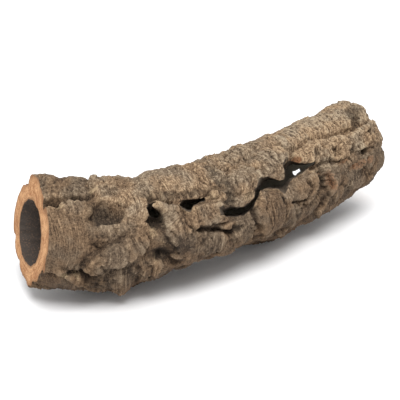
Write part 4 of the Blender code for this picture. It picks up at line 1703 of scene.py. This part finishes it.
@dataclass(frozen=True)
class BarkFinish:
    """Dry grey-brown bark: painted pale on its crests and near black in its cracks, as painted light and
    shade, and rusty where it is worn.

    A pair of weights is how much a pattern shows at mid height, and how much more on top.
    """

    crack: Colour = (0.010, 0.0075, 0.006)
    deep: Colour = (0.052, 0.036, 0.024)
    middle: Colour = (0.135, 0.095, 0.062)
    lit: Colour = (0.240, 0.178, 0.118)
    crest: Colour = (0.420, 0.335, 0.230)
    rust: Colour = (0.330, 0.135, 0.055)
    pale: Colour = (0.440, 0.325, 0.195)
    cool: Colour = (0.99, 0.985, 0.985)
    warm: Colour = (1.12, 1.00, 0.89)
    levels: tuple[float, ...] = (0.10, 0.33, 0.52, 0.72, 0.95)
    usual_level: float = 0.48
    speckle: Mottle = Mottle(560.0, 4.0, 0.66)
    speckle_weights: Span = (0.64, 0.6)
    fibre: Mottle = Mottle(620.0, 3.0, 0.7)
    fibre_drawn_out: float = 0.35
    fibre_weights: Span = (0.44, 0.8)
    line_sway: Mottle = Mottle(190.0, 3.0)
    line_sway_drawn_out: float = 0.12
    line_sway_turns: float = 5.0
    lines_per_metre: float = 290.0
    line_weight: float = 0.20
    lined: Mottle = Mottle(48.0)
    lined_span: Span = (0.30, 0.65)
    least_lined: float = 0.3
    bands: Mottle = Mottle(480.0, 3.0, 0.6)
    bands_drawn_out: float = 0.05
    band_weight: float = 0.40
    blotch: Mottle = Mottle(75.0, 4.0, 0.6)
    blotch_weights: Span = (0.32, -0.14)
    fleck: Mottle = Mottle(1300.0)
    fleck_weight: float = 0.50
    tone_weight: float = 0.02
    # How much lighter the top is and how much darker the underside: partly bleaching, partly painted light on
    # top and painted shade underneath.
    bleach_and_painted_light: float = 0.15
    # Painted shade in hollows and painted light on what stands out.
    painted_cavity_shade: float = 0.11
    hue: Mottle = Mottle(34.0, 3.0)
    hue_span: Span = (0.38, 0.62)
    fleck_in_stains: float = 0.5
    stain_span: Span = (0.45, 0.85)
    rust_strength: float = 0.62
    pale_strength: float = 0.7
    # Painted shade over the painted-shade patches: how blotchy it is, where it starts and is full, and how
    # strong.
    painted_shade_in_blotches: Span = (1.25, 0.5)
    painted_shade_span: Span = (0.0, 1.1)
    painted_shade_strength: float = 0.66
    speckle_relief: float = 0.45
    line_relief: float = 0.16
    band_relief: float = 0.14
    fleck_relief: float = 0.20
    fibre_relief: float = 0.35
    depth: float = 0.0016
    roughness: float = 0.92

    def material(self) -> bpy.types.Material:
        """Build the bark's material."""
        graph = Graph("grey_brown_bark")
        spot = graph.place()
        growth = graph.stored("growth", "Vector")
        upper = graph.stored("upper")
        speckle = graph.noise(spot, self.speckle)
        blotch = graph.noise(spot, self.blotch)
        fleck = graph.noise(spot, self.fleck)
        bands = graph.noise(graph.drawn_out(growth, self.bands_drawn_out), self.bands)
        fibre = graph.noise(graph.drawn_out(growth, self.fibre_drawn_out), self.fibre)
        lines = self.growth_lines(graph, growth)
        lined = graph.noise(spot, self.lined).rising(*self.lined_span) + self.least_lined
        lined = lined * graph.stored("grooved")
        # The level holds painted light and shade: lighter on top and darker underneath through upper, darker
        # in hollows and lighter on crests through cavity.
        level = (
            self.usual_level
            + self.more_on_top(self.speckle_weights, upper) * (speckle - 0.5)
            + self.more_on_top(self.fibre_weights, upper) * (fibre - 0.5)
            + self.line_weight * lined * (lines - 0.5)
            + self.band_weight * (bands - 0.5)
            + self.more_on_top(self.blotch_weights, upper) * (blotch - 0.5)
            + self.fleck_weight * (fleck - 0.5)
            + self.tone_weight * graph.stored("tone")
            + self.bleach_and_painted_light * upper
            - self.painted_cavity_shade * graph.stored("cavity")
        )
        shades = (self.crack, self.deep, self.middle, self.lit, self.crest)
        stops = tuple(zip(self.levels, shades))
        colour = graph.node("ShaderNodeValToRGB", {"stops": stops}, {0: level.held()})
        tint = graph.mix(graph.noise(spot, self.hue).rising(*self.hue_span), self.cool, self.warm)
        colour = graph.mix(1.0, colour, tint, "MULTIPLY")
        broken = speckle + self.fleck_in_stains * fleck
        rust = (graph.stored("rust") * broken).rising(*self.stain_span)
        colour = graph.mix(self.rust_strength * rust, colour, self.rust)
        pale = (graph.stored("pale") * broken).rising(*self.stain_span)
        colour = graph.mix(self.pale_strength * pale, colour, self.pale)
        # Painted shade: the colour goes towards the crack colour over the painted-shade patches.
        most, less = self.painted_shade_in_blotches
        painted_shade = (graph.stored("dark") * (most - less * blotch)).rising(*self.painted_shade_span)
        colour = graph.mix(self.painted_shade_strength * painted_shade, colour, self.crack)
        height = (
            self.speckle_relief * speckle
            + self.line_relief * lined * lines
            + self.band_relief * bands
            + self.fleck_relief * fleck
            + self.fibre_relief * fibre
        )
        return graph.finish(colour, self.roughness, height, self.depth)

    def growth_lines(self, graph: Graph, growth: Wire) -> Wire:
        """Fine swaying lines that follow each lobe's growth.

        Args:
            graph: The material's graph.
            growth: Places across and along the growth lines.

        Returns:
            Values about 0.5, strongest where the sway is large.
        """
        sway = graph.noise(graph.drawn_out(growth, self.line_sway_drawn_out), self.line_sway)
        turns = graph.lengthwise(growth) * self.lines_per_metre + self.line_sway_turns * sway
        return 0.5 + 0.5 * (turns * math.tau).sine() * (2.0 * sway)

    def more_on_top(self, weights: Span, upper: Wire) -> Wire:
        """A weight that grows towards the top of the limb."""
        return weights[0] + weights[1] * upper


@dataclass(frozen=True)
class SawnFinish:
    """Fresh orange-tan sawn cork with growth rings, pores and short brown flecks."""

    base: Colour = (0.330, 0.140, 0.055)
    light: Colour = (0.690, 0.395, 0.195)
    fleck: Colour = (0.270, 0.105, 0.040)
    edge: Colour = (0.240, 0.120, 0.055)
    cloud: Mottle = Mottle(120.0, 3.0, 0.6)
    grit: Mottle = Mottle(1100.0, 3.0, 0.6)
    ring: Mottle = Mottle(1.0)
    rings_in_wall: float = 9.0
    rings_waved: Span = (1.6, 0.6)
    grit_contrast: float = 2.4
    cloud_contrast: float = 2.2
    ring_contrast: float = 1.8
    pores_per_metre: float = 330.0
    pore_span: Span = (0.42, 0.10)
    flecked: Mottle = Mottle(240.0)
    flecked_span: Span = (0.42, 0.60)
    fleck_strength: float = 0.85
    outer_rim: Span = (0.22, 0.0)
    inner_rim: Span = (0.75, 1.0)
    rim_strength: float = 0.8
    rim_grit: float = 0.3
    grit_relief: float = 0.6
    ring_relief: float = 0.4
    fleck_relief: float = 0.5
    depth: float = 0.0004
    roughness: float = 0.85

    def material(self) -> bpy.types.Material:
        """Build the sawn cork's material."""
        graph = Graph("sawn_cork")
        spot = graph.place()
        cloud = graph.noise(spot, self.cloud)
        grit = graph.noise(spot, self.grit)
        inside = graph.stored("inside")
        waved, shifted = self.rings_waved
        across_wall = {"X": inside * self.rings_in_wall + cloud * waved, "Y": cloud * shifted}
        ring = graph.noise(graph.node("ShaderNodeCombineXYZ", inputs=across_wall), self.ring)
        lightness = (
            0.5
            + self.grit_contrast * (grit - 0.5)
            + self.cloud_contrast * (cloud - 0.5)
            + self.ring_contrast * (ring - 0.5)
        )
        colour = graph.mix(lightness.held(), self.base, self.light)
        pores = graph.cells(spot, self.pores_per_metre).rising(*self.pore_span)
        flecks = (pores * graph.noise(spot, self.flecked).rising(*self.flecked_span)).held()
        colour = graph.mix(self.fleck_strength * flecks, colour, self.fleck)
        rim = inside.rising(*self.inner_rim).larger(inside.rising(*self.outer_rim))
        colour = graph.mix((self.rim_strength * rim * (self.rim_grit + grit)).held(), colour, self.edge)
        height = self.grit_relief * grit + self.ring_relief * ring - self.fleck_relief * flecks
        return graph.finish(colour, self.roughness, height, self.depth)


@dataclass(frozen=True)
class LiningFinish:
    """The hollow's crusty wall: near black with brown grains at its mouths, paler in its middle.

    The paler middle is partly dust and partly painted light for the little light that reaches inside. Each of
    its spans is the world x where it begins and where it is full.
    """

    base: Colour = (0.068, 0.054, 0.045)
    grain: Colour = (0.220, 0.130, 0.085)
    dust_and_painted_light: Colour = (0.340, 0.305, 0.250)
    dust_and_painted_light_grain: Colour = (0.520, 0.440, 0.330)
    dust_and_painted_light_near: Span = (-0.130, -0.085)
    dust_and_painted_light_far: Span = (0.205, 0.165)
    grit: Mottle = Mottle(700.0, 4.0, 0.6)
    grit_span: Span = (0.48, 0.75)
    blotch: Mottle = Mottle(110.0, 3.0)
    blotch_span: Span = (0.35, 0.65)
    grit_relief: float = 0.7
    blotch_relief: float = 0.6
    depth: float = 0.0016
    roughness: float = 0.88

    def material(self, name: str) -> bpy.types.Material:
        """Build the lining's material."""
        graph = Graph(name)
        spot = graph.place()
        grit = graph.noise(spot, self.grit)
        blotch = graph.noise(spot, self.blotch)
        share = (grit.rising(*self.grit_span) * blotch.rising(*self.blotch_span)).held()
        lengthwise = graph.lengthwise(spot)
        # The paler middle of the wall: partly dust, partly painted light for the little light that reaches
        # inside.
        deep = lengthwise.rising(*self.dust_and_painted_light_near) * lengthwise.rising(*self.dust_and_painted_light_far)
        wall = graph.mix(deep, self.base, self.dust_and_painted_light)
        grains = graph.mix(deep, self.grain, self.dust_and_painted_light_grain)
        colour = graph.mix(share, wall, grains)
        height = self.grit_relief * grit + self.blotch_relief * blotch
        return graph.finish(colour, self.roughness, height, self.depth)


@dataclass(frozen=True)
class Studio:
    """A plain pale table, even light all round, a soft light high on the viewer's side, and the camera."""

    eye: tuple[float, float, float] = (-0.6295, -0.8892, 0.5471)
    target: tuple[float, float, float] = (-0.0086, 0.0143, 0.059)
    lens: float = 97.74
    sensor: float = 36.0
    floor_size: float = 60.0
    floor_colour: Colour = (0.95, 0.95, 0.955)
    floor_roughness: float = 0.32
    floor_sheen: float = 0.3
    sky: float = 0.72
    sun_strength: float = 2.7
    sun_softness: float = math.radians(34.0)
    sun_elevation: float = math.radians(66.0)
    sun_azimuth: float = math.radians(-152.0)

    def floor(self) -> bpy.types.Object:
        """Lay the table."""
        sheet = bmesh.new()
        bmesh.ops.create_grid(sheet, x_segments=1, y_segments=1, size=self.floor_size / 2)
        table = new_object("table", sheet)
        graph = Graph("pale_table")
        graph.put(graph.surface.inputs["Base Color"], self.floor_colour)
        graph.put(graph.surface.inputs["Roughness"], self.floor_roughness)
        graph.put(graph.surface.inputs["Specular IOR Level"], self.floor_sheen)
        table.data.materials.append(graph.material)
        return table

    def sun(self) -> bpy.types.Object:
        """Hang the soft key light."""
        light = bpy.data.lights.new("key", "SUN")
        light.energy = self.sun_strength
        light.angle = self.sun_softness
        flat = math.cos(self.sun_elevation)
        x, y = flat * math.sin(self.sun_azimuth), flat * math.cos(self.sun_azimuth)
        made = self.placed("key", light)
        made.rotation_euler = Vector((x, y, math.sin(self.sun_elevation))).to_track_quat("Z", "Y").to_euler()
        return made

    def camera(self) -> bpy.types.Object:
        """Set the camera at the photograph's angle."""
        lens = bpy.data.cameras.new("camera")
        lens.lens = self.lens
        lens.sensor_width = self.sensor
        made = self.placed("camera", lens)
        made.location = self.eye
        made.rotation_euler = (Vector(self.target) - Vector(self.eye)).to_track_quat("-Z", "Y").to_euler()
        bpy.context.scene.camera = made
        return made

    def placed(self, name: str, data: bpy.types.ID) -> bpy.types.Object:
        """Put a light or a camera in the scene."""
        made = bpy.data.objects.new(name, data)
        bpy.context.scene.collection.objects.link(made)
        return made

    def world(self) -> None:
        """Light the room evenly."""
        room = bpy.data.worlds.new("room")
        room.use_nodes = True
        back = room.node_tree.nodes["Background"]
        back.inputs["Color"].default_value = (1.0, 1.0, 1.0, 1.0)
        back.inputs["Strength"].default_value = self.sky
        bpy.context.scene.world = room
        bpy.context.scene.view_settings.view_transform = "Standard"

    def build(self) -> None:
        """Build the stage round the limb."""
        self.world()
        self.floor()
        self.sun()
        self.camera()
        LOG.info("studio: table, key light and camera")


def main() -> None:
    """Build the limb and its stage."""
    logging.basicConfig(level=logging.INFO, format="%(name)s: %(message)s")
    line = LimbLine()
    # The gaps' torn walls: their colours are painted lighter, standing in for the little light that reaches
    # into the gaps.
    torn_edge = LiningFinish(
        base=(0.085, 0.066, 0.049),
        grain=(0.250, 0.178, 0.118),
        dust_and_painted_light=(0.100, 0.077, 0.056),
        dust_and_painted_light_grain=(0.260, 0.185, 0.122),
    )
    finishes = [
        BarkFinish().material(),
        LiningFinish().material("dark_lining"),
        SawnFinish().material(),
        torn_edge.material("torn_edge"),
    ]
    limb = BarkSkin(line, Relief(), Cutters(line)).build(finishes, CAD_BOX)
    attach(limb, "root")
    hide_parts("cork_branch")
    Studio().build()


if __name__ == "__main__":
    main()
